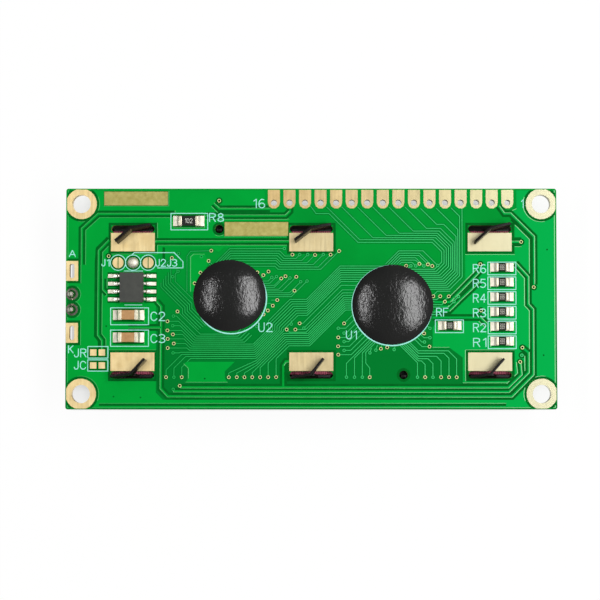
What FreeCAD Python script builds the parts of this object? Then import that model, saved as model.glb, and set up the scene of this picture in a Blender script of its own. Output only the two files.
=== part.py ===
import FreeCAD, Part
import math
import os

# Character display module, seen from its component side: X runs along the board, Y across it,
# +Z from the bezel's face (which lies on the table at Z = 0) up to the components.
# The origin is the middle of the outline, on the bezel's face. All sizes are millimetres.

# Circuit board: its outline stands out past the bezel on every side
board_end_margin = 4.35
board_upper_margin = 6.6
board_lower_margin = 5.2
board_thickness = 1.6
board_corner_radius = 0.4
copper = 0.04                       # thickness of pads and lands, and of the plating in the holes
edge_land = 0.15                    # bare strip between a pad and the board's edge
cut_overrun = 1.0                   # how far a cutting shape runs past what it cuts

# Mounting holes
mount_hole_inset = 2.5              # from each edge to the hole's centre
mount_hole_diameter = 3.0
mount_pad_diameter = 5.0

# Interface row
header_count = 16
header_pitch = 2.54
header_end_inset = 8.0              # right-hand edge to the first hole
header_edge_inset = 2.3             # long edge to the row
header_hole_diameter = 1.0
header_pad_width = 1.95
header_pad_edge_gap = 0.2

# Display window and its bezel
bezel_drop = 0.2                    # how far the bezel sits below the middle of its slots
bezel_length = 71.3
bezel_width = 24.2
bezel_sheet = 0.4
bezel_inner_bend = 0.4
bezel_corner_slit = 0.25
window_end_margin = 3.4
window_side_margin = 4.1
window_corner_radius = 0.5
window_chamfer = 0.12

# Twist tabs of the bezel
tab_end_inset = 6.55                # bezel's end to the middle of the outer tabs
tab_columns = 3
tab_width = 6.6
tab_end_clearance = 0.25
tab_side_clearance = 0.4
tab_shoulder = 0.9                  # how deep the wall's full width goes into the slot
tab_neck_width = 2.2
tab_lift = 0.12                     # gap between the turned head and the board
tab_rise = 2.2                      # top of the head above the board
tab_bend_radius = 0.3
locating_prong_width = 0.8
locating_prong_rise = 0.3
locating_hole_diameter = 1.4
locating_prong_inset = 20.65        # bezel's end to the prong

# Gold ground pads beside the slots
ground_pad_width = 7.15
ground_pad_depth = 3.0
ground_pad_gap = 0.05

# Bare gold fields on the component side
field_length = 10.36
field_width = 2.24
first_field_inset = 11.4            # left-hand edge to its middle
first_field_edge_gap = 0.5          # long edge to the field
second_field_gap = 0.2              # between it and the middle ground pad

# Liquid-crystal cell
polariser_thickness = 0.2
glass_thickness = 1.1
glass_clearance = 0.15              # glass to the bezel's walls
polariser_margin = 1.2              # glass edge to the polariser's edge

# Zebra strips between the glass ledges and the board
zebra_width = 2.2
zebra_wall_clearance = 0.1
zebra_inner_clearance = 0.25
zebra_end_margin = 2.3

# Side-lit backlight
backlight_height = 5.6
backlight_end_clearance = 0.25
backlight_wall = 1.0
backlight_floor = 1.2
film_thickness = 0.2
reflector_thickness = 0.15
guide_clearance = 0.1
led_board_thickness = 0.8
led_count = 3
led_length = 3.0
led_depth = 1.0
led_height = 1.4
led_lens_gap = 0.1
tongue_width = 6.4
tongue_height = 3.0
tongue_clearance = 0.25
tongue_edge_gap = 0.1

# Backlight pins, soldered at the left-hand edge
pin_edge_inset = 1.0
pin_pitch = 2.54
pin_width = 0.5
pin_thickness = 0.4
pin_tip_rise = 1.1
pin_run_drop = 1.6                  # board's front face down to the pin's level run
pin_hole_diameter = 1.0
pin_pad_diameter = 2.0
pin_solder_height = 0.85

# Slots for the backlight's wires
wire_slot_pitch = 10.1
wire_slot_length = 2.4
wire_slot_width = 0.8
wire_pad_length = 3.24
wire_pad_width = 2.0

# Solder links
jumper_pitch = 2.45
jumper_inset = 10.95                # left-hand edge to the middle one
jumper_radius = 0.9
jumper_gap = 0.14
bridge_height = 0.45
link_pad_side = 1.04
link_pad_pitch = 1.4
link_row_pitch = 2.1
link_inset = 5.22

# Chip resistors and capacitors: length, width, height, end cap and outer span of the lands
small_chip = {"length": 2.0, "width": 1.25, "height": 0.5, "cap": 0.4, "span": 3.8, "land": 1.4}
large_chip = {"length": 3.2, "width": 1.55, "height": 0.55, "cap": 0.5, "span": 5.1, "land": 1.65}
tall_chip = {"length": 3.2, "width": 1.6, "height": 1.25, "cap": 0.55, "span": 5.1, "land": 1.6}
end_film = 0.05
resistor_column_inset = 8.94        # right-hand edge to the column's middle
resistor_column_count = 6
feedback_resistor_gap = 0.85        # between the right-hand blob and the resistor's land
upper_resistor_inset = 20.0         # from the left-hand edge
upper_resistor_rise = 1.3           # above the upper row of slots
capacitor_inset = 10.25             # from the left-hand edge

# Eight-lead converter chip
converter_inset = 10.8              # left-hand edge to its middle
converter_width = 3.9
converter_length = 4.9
converter_height = 1.4
converter_standoff = 0.12
converter_draft = 7.0
converter_lead_count = 4            # on each side
converter_lead_pitch = 1.27
converter_lead_width = 0.42
converter_lead_thickness = 0.2
converter_lead_span = 6.0
converter_lead_root = 0.4
converter_foot = 0.65
converter_land_span = 7.84
converter_land_width = 0.58

# Epoxy blobs over the two bare dies
blob_height = 1.55
u1_radius = 6.6
u1_inset = 26.81                    # from the right-hand edge
u1_die = 3.8
u2_radius = 5.9
u2_inset = 26.65                    # from the left-hand edge
u2_die = 3.2
blob_profile = ((1.0, 0.0), (0.89, 0.36), (0.68, 0.69), (0.38, 0.92), (0.1, 1.0))
blob_unevenness = 0.012             # share by which the rim wanders from a circle
die_thickness = 0.4

# Between the two rows of ground pads, each column of components is spread from top to bottom.
# These are the gaps above, between and below its pieces; they share out whatever length is free.
left_column_gaps = (0.96, 0.72, 1.22, 2.05, 1.65)
right_column_end_gaps = (1.91, 1.15)
right_column_gap = 1.005
feedback_resistor_gaps = (11.41, 3.69)
u1_gaps = (2.13, 1.17)
u2_gaps = (1.34, 3.36)

# Sides of the small round shapes, kept few where they repeat
pin_hole_sides = 10
slot_end_sides = 12
barrel_sides = 16
ring_sides = 24
blob_sides = 32

# Levels, counted up from the bezel's face
cell_front = bezel_sheet
front_glass_z = cell_front + polariser_thickness
ledge_z = front_glass_z + glass_thickness
rear_polariser_z = ledge_z + glass_thickness
backlight_z = rear_polariser_z + polariser_thickness
board_front = backlight_z + backlight_height
board_top = board_front + board_thickness
land_top = board_top + copper

# Outlines that several pieces share
board_length = bezel_length + 2 * board_end_margin
board_width = bezel_width + board_upper_margin + board_lower_margin
half_length = board_length / 2
half_width = board_width / 2
bezel_y = (board_lower_margin - board_upper_margin) / 2
slot_row_y = bezel_y + bezel_drop
window_length = bezel_length - 2 * window_end_margin
window_width = bezel_width - 2 * window_side_margin
inner_half_length = bezel_length / 2 - bezel_sheet
inner_half_width = bezel_width / 2 - bezel_sheet
wall_mid = bezel_width / 2 - bezel_sheet / 2
zebra_outer = inner_half_width - zebra_wall_clearance
zebra_inner = zebra_outer - zebra_width
cell_half_length = inner_half_length - glass_clearance
frame_half_length = inner_half_length - backlight_end_clearance
frame_half_width = zebra_inner - zebra_inner_clearance
slot_length = tab_width + 2 * tab_end_clearance
slot_width = bezel_sheet + 2 * tab_side_clearance
tab_pitch = (bezel_length - 2 * tab_end_inset) / (tab_columns - 1)
locating_prong_x = bezel_length / 2 - locating_prong_inset
ground_pad_outer = wall_mid - slot_width / 2 - ground_pad_gap
ground_pad_inner = ground_pad_outer - ground_pad_depth
strip_top = slot_row_y + ground_pad_inner
strip_bottom = slot_row_y - ground_pad_inner
pin_x = -half_length + pin_edge_inset
header_y = half_width - header_edge_inset
first_header_x = half_length - header_end_inset
mount_places = [
    (sx * (half_length - mount_hole_inset), sy * (half_width - mount_hole_inset))
    for sx in (-1, 1) for sy in (-1, 1)
]
header_places = [(first_header_x - i * header_pitch, header_y) for i in range(header_count)]
pin_places = [(pin_x, slot_row_y + s * pin_pitch / 2) for s in (-1, 1)]
wire_places = [(pin_x, slot_row_y + s * wire_slot_pitch / 2) for s in (-1, 1)]
tab_places = [
    ((column - (tab_columns - 1) / 2) * tab_pitch, side)
    for side in (1, -1) for column in range(tab_columns)
]

# How each head was turned with pliers, in degrees: the half left over its slot, and the half swung
# inwards
tab_turns = {
    1: [(9.0, 41.0), (10.0, 37.0), (12.0, 42.0)],
    -1: [(7.0, 47.0), (10.0, 51.0), (8.0, 49.0)],
}
tab_bend_offset = {1: 0.0, -1: -0.25}


def spread(heights, gaps):
    """Middles of pieces placed from the strip's top down, the free length shared out by the gaps."""
    share = (strip_top - strip_bottom - sum(heights)) / sum(gaps)
    middles = []
    y = strip_top
    for height, gap in zip(heights, gaps):
        y -= gap * share + height
        middles.append(y + height / 2)
    return middles


def vector(x, y, z=0.0):
    """A point or direction."""
    return FreeCAD.Vector(x, y, z)


def block(x0, x1, y0, y1, z0, z1):
    """A box between the given faces."""
    return Part.makeBox(x1 - x0, y1 - y0, z1 - z0, vector(x0, y0, z0))


def centred_block(x, y, length, width, z0, z1):
    """A box standing on the point (x, y)."""
    return block(x - length / 2, x + length / 2, y - width / 2, y + width / 2, z0, z1)


def rod(x, y, radius, z0, z1):
    """An upright cylinder."""
    return Part.makeCylinder(radius, z1 - z0, vector(x, y, z0))


def prism(points, z0, z1):
    """An upright prism on a closed outline of (x, y) points."""
    outline = [vector(x, y, z0) for x, y in points]
    return Part.Face(Part.makePolygon(outline + outline[:1])).extrude(vector(0, 0, z1 - z0))


def side_prism(points, y, width):
    """A prism on a closed outline of (x, z) points, lying across Y about the given middle."""
    outline = [vector(x, y - width / 2, z) for x, z in points]
    return Part.Face(Part.makePolygon(outline + outline[:1])).extrude(vector(0, width, 0))


def round_outline(x, y, radius, sides):
    """The corners of a regular outline on a circle."""
    turn = 2 * math.pi / sides
    return [
        (x + radius * math.cos((i + 0.5) * turn), y + radius * math.sin((i + 0.5) * turn))
        for i in range(sides)
    ]


def round_prism(x, y, radius, sides, z0, z1):
    """An upright many-sided prism whose flats lie at the radius, so a round pin of that size fits."""
    return prism(round_outline(x, y, radius / math.cos(math.pi / sides), sides), z0, z1)


def slot_outline(x, y, length, width, sides):
    """The corners of a slot with round ends, along X or, where width is the longer, along Y."""
    upright = width > length
    long, short = max(length, width), min(length, width)
    reach = long / 2 - short / 2
    points = []
    for end in (1, -1):
        for i in range(sides // 2 + 1):
            angle = math.pi * (i / (sides // 2) - 0.5)
            points.append((
                end * (reach + short / 2 * math.cos(angle)), end * short / 2 * math.sin(angle)))
    return [(x - b, y + a) if upright else (x + a, y + b) for a, b in points]


def slot_prism(x, y, length, width, z0, z1):
    """An upright slot shape."""
    return prism(slot_outline(x, y, length, width, slot_end_sides), z0, z1)


def true_slot(x, y, length, width, z0, z1):
    """An upright slot along Y with cylindrical ends."""
    radius = length / 2
    reach = width / 2 - radius
    ends = [rod(x, y + sign * reach, radius, z0, z1) for sign in (-1, 1)]
    return join([centred_block(x, y, length, 2 * reach, z0, z1)] + ends)


def stacked_rings(x, y, sides, levels, wander=0.0):
    """A solid of flat facets through many-sided rings, one above another.

    levels are (radius, height) pairs, and every ring has the same outline, so each facet is flat.
    """
    rings = []
    for radius, z in levels:
        corners = []
        for i in range(sides):
            angle = 2 * math.pi * i / sides
            reach = radius * (1 + wander * (math.sin(2 * angle + 0.6) + 0.6 * math.sin(3 * angle + 2.0)))
            corners.append(vector(x + reach * math.cos(angle), y + reach * math.sin(angle), z))
        rings.append(corners)
    outlines = [rings[0], rings[-1]]
    for low, high in zip(rings, rings[1:]):
        for i in range(sides):
            j = (i + 1) % sides
            outlines.append([low[i], low[j], high[j], high[i]])
    faces = [Part.Face(Part.makePolygon(outline + outline[:1])) for outline in outlines]
    shell = Part.Shell(faces)
    shell.sewShape()
    return Part.Solid(shell)


def join(shapes):
    """One shape from several that touch or overlap, with no left-over seams."""
    whole = shapes[0]
    if len(shapes) > 1:
        whole = whole.fuse(shapes[1:])
    return whole.removeSplitter()


def taken_from(shape, tools):
    """The shape with every tool cut out of it."""
    return shape.cut(tools) if tools else shape


def upright_edges(shape):
    """The straight edges that run along Z."""
    return [
        edge for edge in shape.Edges
        if abs(edge.Vertexes[0].Z - edge.Vertexes[-1].Z) > 0.5 * edge.Length and edge.Length > 0
    ]


def edges_at(shape, z):
    """The edges that lie wholly at height z."""
    return [edge for edge in shape.Edges if all(abs(v.Z - z) < 1e-6 for v in edge.Vertexes)]


def circuit_board():
    """The laminate, with every drilled hole and milled slot."""
    plate = centred_block(0, 0, board_length, board_width, board_front, board_top)
    plate = plate.makeFillet(board_corner_radius, upright_edges(plate))
    low, high = board_front - cut_overrun, board_top + cut_overrun
    holes = [
        round_prism(x, y, mount_hole_diameter / 2 + copper, barrel_sides, low, high)
        for x, y in mount_places
    ]
    holes += [
        round_prism(x, y, header_hole_diameter / 2 + copper, pin_hole_sides, low, high)
        for x, y in header_places
    ]
    holes += [
        round_prism(x, y, pin_hole_diameter / 2, pin_hole_sides, low, high) for x, y in pin_places
    ]
    holes += [
        slot_prism(x, y, wire_slot_width + 2 * copper, wire_slot_length + 2 * copper, low, high)
        for x, y in wire_places
    ]
    holes += [
        slot_prism(x, slot_middle_y(side), slot_length, slot_width, low, high)
        for x, side in tab_places
    ]
    holes += [
        round_prism(
            side * -locating_prong_x, slot_middle_y(side), locating_hole_diameter / 2,
            pin_hole_sides, low, high)
        for side in (1, -1)
    ]
    return taken_from(plate, holes)


def slot_middle_y(side):
    """Middle of the slots on one long side, on the bezel wall's nominal plane."""
    return slot_row_y + side * wall_mid


def wall_middle_y(side):
    """Middle of the bezel's long wall as it sits in its slots."""
    return bezel_y + side * wall_mid


def both_faces(make_pad):
    """A pad on the board's top and its twin on the front face."""
    return [make_pad(board_top, land_top), make_pad(board_front - copper, board_front)]


def corner_hole_plating():
    """Plated barrels with a wide ring on both faces, kept clear of the edge and of the bezel."""
    inside_edge = centred_block(
        0, 0, board_length - 2 * edge_land, board_width - 2 * edge_land, 0, land_top + cut_overrun)
    bezel_room = centred_block(
        0, bezel_y, bezel_length + 2 * edge_land, bezel_width + 2 * edge_land, 0, board_front)
    platings = []
    for x, y in mount_places:
        outline = round_outline(x, y, mount_pad_diameter / 2, ring_sides)
        rings = both_faces(lambda z0, z1: prism(outline, z0, z1))
        rings = [ring.common(inside_edge).cut(bezel_room) for ring in rings]
        barrel = round_prism(
            x, y, mount_hole_diameter / 2 + copper, barrel_sides, board_front, board_top)
        bore = rod(x, y, mount_hole_diameter / 2, 0, land_top + cut_overrun)
        platings.append(join(rings + [barrel]).cut(bore))
    return platings


def header_hole_plating():
    """The interface row: plated holes, each in a finger that runs out towards the edge.

    The two end holes are true cylinders, to gauge the row by; the others have few sides.
    """
    pad_end = half_width - header_pad_edge_gap
    half = header_pad_width / 2
    steps = pin_hole_sides // 2
    platings = []
    for index, (x, y) in enumerate(header_places):
        angles = [math.pi * (1 + i / steps) for i in range(steps + 1)]
        outline = [(x + half * math.cos(angle), y + half * math.sin(angle)) for angle in angles]
        outline += [(x + half, pad_end), (x - half, pad_end)]
        fingers = both_faces(lambda z0, z1: prism(outline, z0, z1))
        radius = header_hole_diameter / 2
        barrel = round_prism(x, y, radius + copper, pin_hole_sides, board_front, board_top)
        if index in (0, header_count - 1):
            bore = rod(x, y, radius, 0, land_top + cut_overrun)
        else:
            bore = round_prism(x, y, radius, pin_hole_sides, 0, land_top + cut_overrun)
        platings.append(join(fingers + [barrel]).cut(bore))
    return platings


def wire_slot_plating():
    """The two plated slots for the backlight's wires, in square pads at the board's end."""
    inside_edge = centred_block(0, 0, board_length - 2 * copper, board_width, 0, land_top + cut_overrun)
    platings = []
    for x, y in wire_places:
        pads = both_faces(
            lambda z0, z1: centred_block(x, y, wire_pad_width, wire_pad_length, z0, z1))
        pads = [pad.common(inside_edge) for pad in pads]
        barrel = slot_prism(
            x, y, wire_slot_width + 2 * copper, wire_slot_length + 2 * copper, board_front, board_top)
        bore = true_slot(x, y, wire_slot_width, wire_slot_length, 0, land_top + cut_overrun)
        platings.append(join(pads + [barrel]).cut(bore))
    return platings


def tab_ground_pads():
    """The six gold pads on the inner side of the slots, under the turned heads."""
    pads = []
    for x, side in tab_places:
        y = slot_row_y + side * (ground_pad_outer + ground_pad_inner) / 2
        pads.append(centred_block(x, y, ground_pad_width, ground_pad_depth, board_top, land_top))
    return pads


def marking_fields():
    """Two bare gold fields: one at the board's corner, one beside the upper middle tab."""
    places = [
        (first_field_inset - half_length, half_width - first_field_edge_gap - field_width / 2),
        (-ground_pad_width / 2 - second_field_gap - field_length / 2, slot_middle_y(1)),
    ]
    return [centred_block(x, y, field_length, field_width, board_top, land_top) for x, y in places]


def left_column_y():
    """Middles of the jumper row, the converter chip and the two capacitors."""
    return spread(
        [2 * jumper_radius, converter_length, tall_chip["land"], tall_chip["land"]], left_column_gaps)


def jumper_places():
    """The three split pads in a row."""
    return [(jumper_inset - half_length + i * jumper_pitch, left_column_y()[0]) for i in (-1, 0, 1)]


def jumper_pads():
    """Three round pads, each split down the middle into two half moons."""
    halves = []
    for x, y in jumper_places():
        disc = prism(round_outline(x, y, jumper_radius, ring_sides), board_top, land_top)
        gap = centred_block(x, y, jumper_gap, 4 * jumper_radius, board_top, land_top)
        halves += disc.cut(gap).Solids
    return halves


def solder_bridge():
    """The dome of solder that closes the middle link."""
    x, y = jumper_places()[1]
    return dome(x, y, jumper_radius, bridge_height, land_top, barrel_sides)


def dome(x, y, radius, height, z, sides, wander=0.0):
    """A drop of set liquid, from its rim to its crown."""
    levels = [(a * radius, z + b * height) for a, b in blob_profile]
    return stacked_rings(x, y, sides, levels, wander)


def link_pads():
    """Two open two-pad links at the left-hand edge, the first level with the ground pads' inner edge."""
    middle_x = link_inset - half_length
    return [
        centred_block(
            middle_x + side * link_pad_pitch / 2, strip_bottom - row * link_row_pitch,
            link_pad_side, link_pad_side, board_top, land_top)
        for row in (0, 1) for side in (-1, 1)
    ]


def solder_joint(x, y, direction, end, inner, outer, width, height):
    """A land with its solder fillet, climbing the end face of what it holds.

    end, inner and outer are distances from the component's middle along X, in the given direction.
    """
    middle = end + 0.35 * (outer - end)
    lip = 0.25 * height
    profile = [
        (inner, board_top), (outer, board_top), (outer, land_top + lip / 4),
        (middle, land_top + lip), (end, land_top + height), (end, land_top), (inner, land_top),
    ]
    return side_prism([(x + direction * a, z) for a, z in profile], y, width)


def chip_part(x, y, size, wraps_sides):
    """A chip resistor or capacitor: its body, its two end caps and its two solder joints."""
    bottom, top = land_top, land_top + size["height"]
    body_width = size["width"] - (2 * end_film if wraps_sides else 0)
    body = centred_block(
        x, y, size["length"] - 2 * end_film, body_width, bottom + end_film, top - end_film)
    caps = []
    joints = []
    for side in (-1, 1):
        middle = x + side * (size["length"] - size["cap"]) / 2
        cap = centred_block(middle, y, size["cap"], size["width"], bottom, top)
        caps.append(cap.cut(body))
        joints.append(solder_joint(
            x, y, side, size["length"] / 2, size["length"] / 2 - size["cap"],
            size["span"] / 2, size["land"], 0.55 * size["height"]))
    return body, caps, joints


def chip_parts():
    """Every two-ended component, by node name."""
    column_x = half_length - resistor_column_inset
    gaps = [right_column_end_gaps[0]] + [right_column_gap] * (resistor_column_count - 1)
    gaps.append(right_column_end_gaps[1])
    parts = {}
    for row, y in enumerate(spread([small_chip["land"]] * resistor_column_count, gaps)):
        name = f"resistor_r{resistor_column_count - row}"
        parts[name] = chip_part(column_x, y, small_chip, False)
    feedback_y = spread([small_chip["land"]], feedback_resistor_gaps)[0]
    feedback_x = half_length - u1_inset + u1_radius + feedback_resistor_gap + small_chip["span"] / 2
    parts["resistor_rf"] = chip_part(feedback_x, feedback_y, small_chip, False)
    parts["resistor_r8"] = chip_part(
        upper_resistor_inset - half_length, slot_middle_y(1) + upper_resistor_rise, large_chip, False)
    for name, y in zip(("capacitor_c2", "capacitor_c3"), left_column_y()[2:]):
        parts[name] = chip_part(capacitor_inset - half_length, y, tall_chip, True)
    return parts


def rectangle(x, y, length, width, z):
    """A closed rectangular wire at height z."""
    corners = [(-1, -1), (1, -1), (1, 1), (-1, 1), (-1, -1)]
    return Part.makePolygon([vector(x + a * length / 2, y + b * width / 2, z) for a, b in corners])


def converter_chip():
    """The eight-lead chip: moulded body with draft, gull-wing leads let into it, and its joints."""
    converter_x, converter_y = converter_inset - half_length, left_column_y()[1]
    bottom = land_top + converter_standoff
    middle = bottom + converter_height / 2
    top = bottom + converter_height
    taper = converter_height * math.tan(math.radians(converter_draft))
    halves = [
        Part.makeLoft([
            rectangle(converter_x, converter_y, converter_width, converter_length, middle),
            rectangle(converter_x, converter_y, converter_width - taper, converter_length - taper, z),
        ], True, True)
        for z in (bottom, top)
    ]
    half_lead = converter_lead_thickness / 2
    root = converter_width / 2 - converter_lead_root
    foot_end = converter_lead_span / 2
    foot_start = foot_end - converter_foot
    knee = (converter_width / 2 + foot_start) / 2
    leads = []
    joints = []
    for side in (-1, 1):
        for row in range(converter_lead_count):
            y = converter_y + (row - (converter_lead_count - 1) / 2) * converter_lead_pitch
            profile = [
                (root, middle - half_lead), (knee - half_lead, middle - half_lead),
                (foot_start, land_top), (foot_end, land_top),
                (foot_end, land_top + converter_lead_thickness),
                (foot_start + half_lead, land_top + converter_lead_thickness),
                (knee + half_lead, middle + half_lead), (root, middle + half_lead),
            ]
            places = [(converter_x + side * a, z) for a, z in profile]
            leads.append(side_prism(places, y, converter_lead_width))
            joints.append(solder_joint(
                converter_x, y, side, foot_end, foot_start, converter_land_span / 2,
                converter_land_width, 0.6 * converter_lead_thickness))
    return taken_from(join(halves), leads), leads, joints


def die_and_blob(x, radius, gaps, die_side):
    """A bare die on the board and the epoxy that covers it."""
    y = spread([2 * radius], gaps)[0]
    die = centred_block(x, y, die_side, die_side, board_top, board_top + die_thickness)
    cover = dome(x, y, radius, blob_height, board_top, blob_sides, blob_unevenness)
    return die, cover.cut(die)


def turned_head(x, side, seat_angle, lock_angle, bend_y):
    """The flat head of a tab, bent at its middle: one half lies over the slot, one points inwards."""
    half = tab_width / 2
    seat = math.radians(seat_angle)
    lock = math.radians(lock_angle)
    # Directions of the two halves for a tab of the upper wall; the lower wall's are turned half round.
    legs = [(math.cos(seat), math.sin(seat)), (-math.cos(lock), -math.sin(lock))]
    sides = []
    for (ax, ay), sign in zip(legs, (1, -1)):
        offset = (-ay * sign * bezel_sheet / 2, ax * sign * bezel_sheet / 2)
        sides.append((ax * half, ay * half, offset))
    (rx, ry, (rox, roy)), (lx, ly, (lox, loy)) = sides
    split = (seat - lock) / 2
    reach = bezel_sheet / 2 / math.cos(split)
    lean = (seat + lock) / 2
    mid = (-math.sin(lean) * reach, math.cos(lean) * reach)
    outline = [
        (rx + rox, ry + roy), mid, (lx + lox, ly + loy),
        (lx - lox, ly - loy), (-mid[0], -mid[1]), (rx - rox, ry - roy),
    ]
    places = [(x + side * a, wall_middle_y(side) + side * (b + bend_y)) for a, b in outline]
    head = prism(places, board_top + tab_lift, board_top + tab_rise)
    bends = [
        edge for edge in upright_edges(head)
        if math.hypot(edge.Vertexes[0].X - x, edge.Vertexes[0].Y - wall_middle_y(side) - side * bend_y)
        < 2 * reach
    ]
    return head.makeFillet(tab_bend_radius, bends)


def twist_tab(x, side, column):
    """A tab of the long wall: shoulders in the slot, a neck through it and the turned head above."""
    seat_angle, lock_angle = tab_turns[side][column % tab_columns]
    bend_y = tab_bend_offset[side]
    wall_y = wall_middle_y(side)
    shoulder_top = board_front + tab_shoulder
    shoulders = centred_block(x, wall_y, tab_width, bezel_sheet, board_front, shoulder_top)
    neck = Part.makeLoft([
        rectangle(x, wall_y, tab_neck_width, bezel_sheet, shoulder_top),
        rectangle(x, wall_y + side * bend_y, tab_neck_width / 2, bezel_sheet, board_top + tab_lift),
    ], True, True)
    return [shoulders, neck, turned_head(x, side, seat_angle, lock_angle, bend_y)]


def bezel():
    """The folded sheet frame: face with its window, four walls, twist tabs and locating prongs."""
    outer = centred_block(0, bezel_y, bezel_length, bezel_width, 0, board_front)
    outer = outer.makeFillet(bezel_inner_bend + bezel_sheet, edges_at(outer, 0))
    inner = centred_block(
        0, bezel_y, 2 * inner_half_length, 2 * inner_half_width, bezel_sheet, board_front)
    inner = inner.makeFillet(bezel_inner_bend, edges_at(inner, bezel_sheet))
    window = centred_block(0, bezel_y, window_length, window_width, 0, bezel_sheet)
    window = window.makeFillet(window_corner_radius, upright_edges(window))
    shell = outer.cut([inner, window])
    rim = [
        edge for edge in edges_at(shell, 0)
        if abs(edge.CenterOfMass.y - bezel_y) < window_width / 2 + window_chamfer
        and abs(edge.CenterOfMass.x) < window_length / 2 + window_chamfer
    ]
    shell = shell.makeChamfer(window_chamfer, rim)
    pieces = [shell]
    for index, (x, side) in enumerate(tab_places):
        pieces += twist_tab(x, side, index % tab_columns)
    for side in (1, -1):
        pieces.append(centred_block(
            side * -locating_prong_x, wall_middle_y(side), locating_prong_width, bezel_sheet,
            board_front, board_top + locating_prong_rise))
    return taken_from(join(pieces), corner_slits() + [tongue_opening()])


def corner_slits():
    """The four slits where neighbouring walls meet, open down to the fold."""
    fold = bezel_inner_bend + bezel_sheet
    slits = []
    for sx in (-1, 1):
        for sy in (-1, 1):
            slit = centred_block(0, 0, 6 * bezel_sheet, bezel_corner_slit, fold, board_front)
            slit.rotate(vector(0, 0, 0), vector(0, 0, 1), sx * sy * 45)
            slit.translate(vector(
                sx * (bezel_length - bezel_sheet) / 2, bezel_y + sy * (bezel_width - bezel_sheet) / 2))
            slits.append(slit)
    return slits


def tongue_opening():
    """The gap in the left-hand wall that the backlight's tongue comes out of."""
    half = tongue_width / 2 + tongue_clearance
    return block(
        -bezel_length / 2 - cut_overrun, -inner_half_length + cut_overrun, slot_row_y - half,
        slot_row_y + half, board_front - tongue_height - tongue_clearance, board_front)


def display_cell():
    """The two glasses, the wider one in front, and their polarisers."""
    outer_half_width = inner_half_width - glass_clearance
    inner_glass_half_width = zebra_inner - zebra_inner_clearance

    def sheet(half_long, half_wide, z, thickness):
        return centred_block(0, bezel_y, 2 * half_long, 2 * half_wide, z, z + thickness)

    polariser_half_length = cell_half_length - polariser_margin
    return {
        "front_polariser": sheet(
            polariser_half_length, outer_half_width - polariser_margin, cell_front, polariser_thickness),
        "front_glass": sheet(cell_half_length, outer_half_width, front_glass_z, glass_thickness),
        "rear_glass": sheet(cell_half_length, inner_glass_half_width, ledge_z, glass_thickness),
        "rear_polariser": sheet(
            polariser_half_length, inner_glass_half_width - polariser_margin / 2,
            rear_polariser_z, polariser_thickness),
    }


def zebra_strip(side):
    """The striped silicone that carries the signals from the board down to the glass ledge."""
    inner, outer = sorted((bezel_y + side * zebra_inner, bezel_y + side * zebra_outer))
    half = cell_half_length - zebra_end_margin
    return block(-half, half, inner, outer, ledge_z, board_front)


def backlight_pins():
    """Two bent pins: from the lamp board along the tongue, then up through the circuit board."""
    run_z = board_front - pin_run_drop
    start = -frame_half_length + backlight_wall + guide_clearance
    pins = []
    for x, y in pin_places:
        run = block(x - pin_thickness / 2, start, y - pin_width / 2, y + pin_width / 2,
                    run_z - pin_thickness / 2, run_z + pin_thickness / 2)
        rise = block(x - pin_thickness / 2, x + pin_thickness / 2, y - pin_width / 2,
                     y + pin_width / 2, run_z, board_top + pin_tip_rise)
        pins.append(join([run, rise]))
    return pins


def backlight(pins):
    """The white tray with its films, light guide and lamps, by node name."""
    floor_z = board_front - backlight_floor
    outer = centred_block(
        0, bezel_y, 2 * frame_half_length, 2 * frame_half_width, backlight_z, board_front)
    room_half_length = frame_half_length - backlight_wall
    room_half_width = frame_half_width - backlight_wall
    room = centred_block(0, bezel_y, 2 * room_half_length, 2 * room_half_width, backlight_z, floor_z)
    tongue = block(
        -half_length + tongue_edge_gap, -frame_half_length + backlight_wall / 2,
        slot_row_y - tongue_width / 2, slot_row_y + tongue_width / 2,
        board_front - tongue_height, board_front)
    frame = taken_from(join([outer.cut(room), tongue]), pins)

    left = -room_half_length + guide_clearance
    lamp_face = left + led_board_thickness
    guide_left = lamp_face + led_depth + led_lens_gap
    right = room_half_length - guide_clearance
    half = room_half_width - guide_clearance
    film_top = backlight_z + film_thickness
    reflector_z = floor_z - reflector_thickness
    lamp_z = (film_top + reflector_z) / 2
    lamp_board = block(left, lamp_face, bezel_y - half, bezel_y + half, film_top, reflector_z)
    lamps = [
        block(lamp_face, lamp_face + led_depth, y - led_length / 2, y + led_length / 2,
              lamp_z - led_height / 2, lamp_z + led_height / 2)
        for y in (bezel_y + (2 * i + 1 - led_count) * half / led_count for i in range(led_count))
    ]
    return {
        "backlight_frame": frame,
        "diffuser_film": block(left, right, bezel_y - half, bezel_y + half, backlight_z, film_top),
        "light_guide": block(guide_left, right, bezel_y - half, bezel_y + half, film_top, reflector_z),
        "reflector_film": block(left, right, bezel_y - half, bezel_y + half, reflector_z, floor_z),
        "led_board": lamp_board,
        "leds": lamps,
    }


def backlight_pin_solder(pins):
    """Solder that fills each pin's hole and climbs the pin in a hollow-sided cone."""
    pad = pin_pad_diameter / 2
    tip = 0.75 * pin_width
    joints = []
    for (x, y), pin in zip(pin_places, pins):
        barrel = round_prism(x, y, pin_hole_diameter / 2, pin_hole_sides, board_front, board_top)
        cone = stacked_rings(x, y, slot_end_sides, [
            (pad, board_top), (pad, land_top),
            ((pad + tip) / 2, land_top + 0.3 * pin_solder_height), (tip, land_top + pin_solder_height),
        ])
        joints.append(join([barrel, cone]).cut(pin))
    return joints


def write_node(name, shapes):
    """Write one sub-part: a single solid, or the several solids that make one node."""
    solids = []
    for shape in shapes if isinstance(shapes, list) else [shapes]:
        solids += shape.Solids
    whole = solids[0] if len(solids) == 1 else Part.makeCompound(solids)
    whole.exportStep(os.path.join("parts", name + ".step"))


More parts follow.
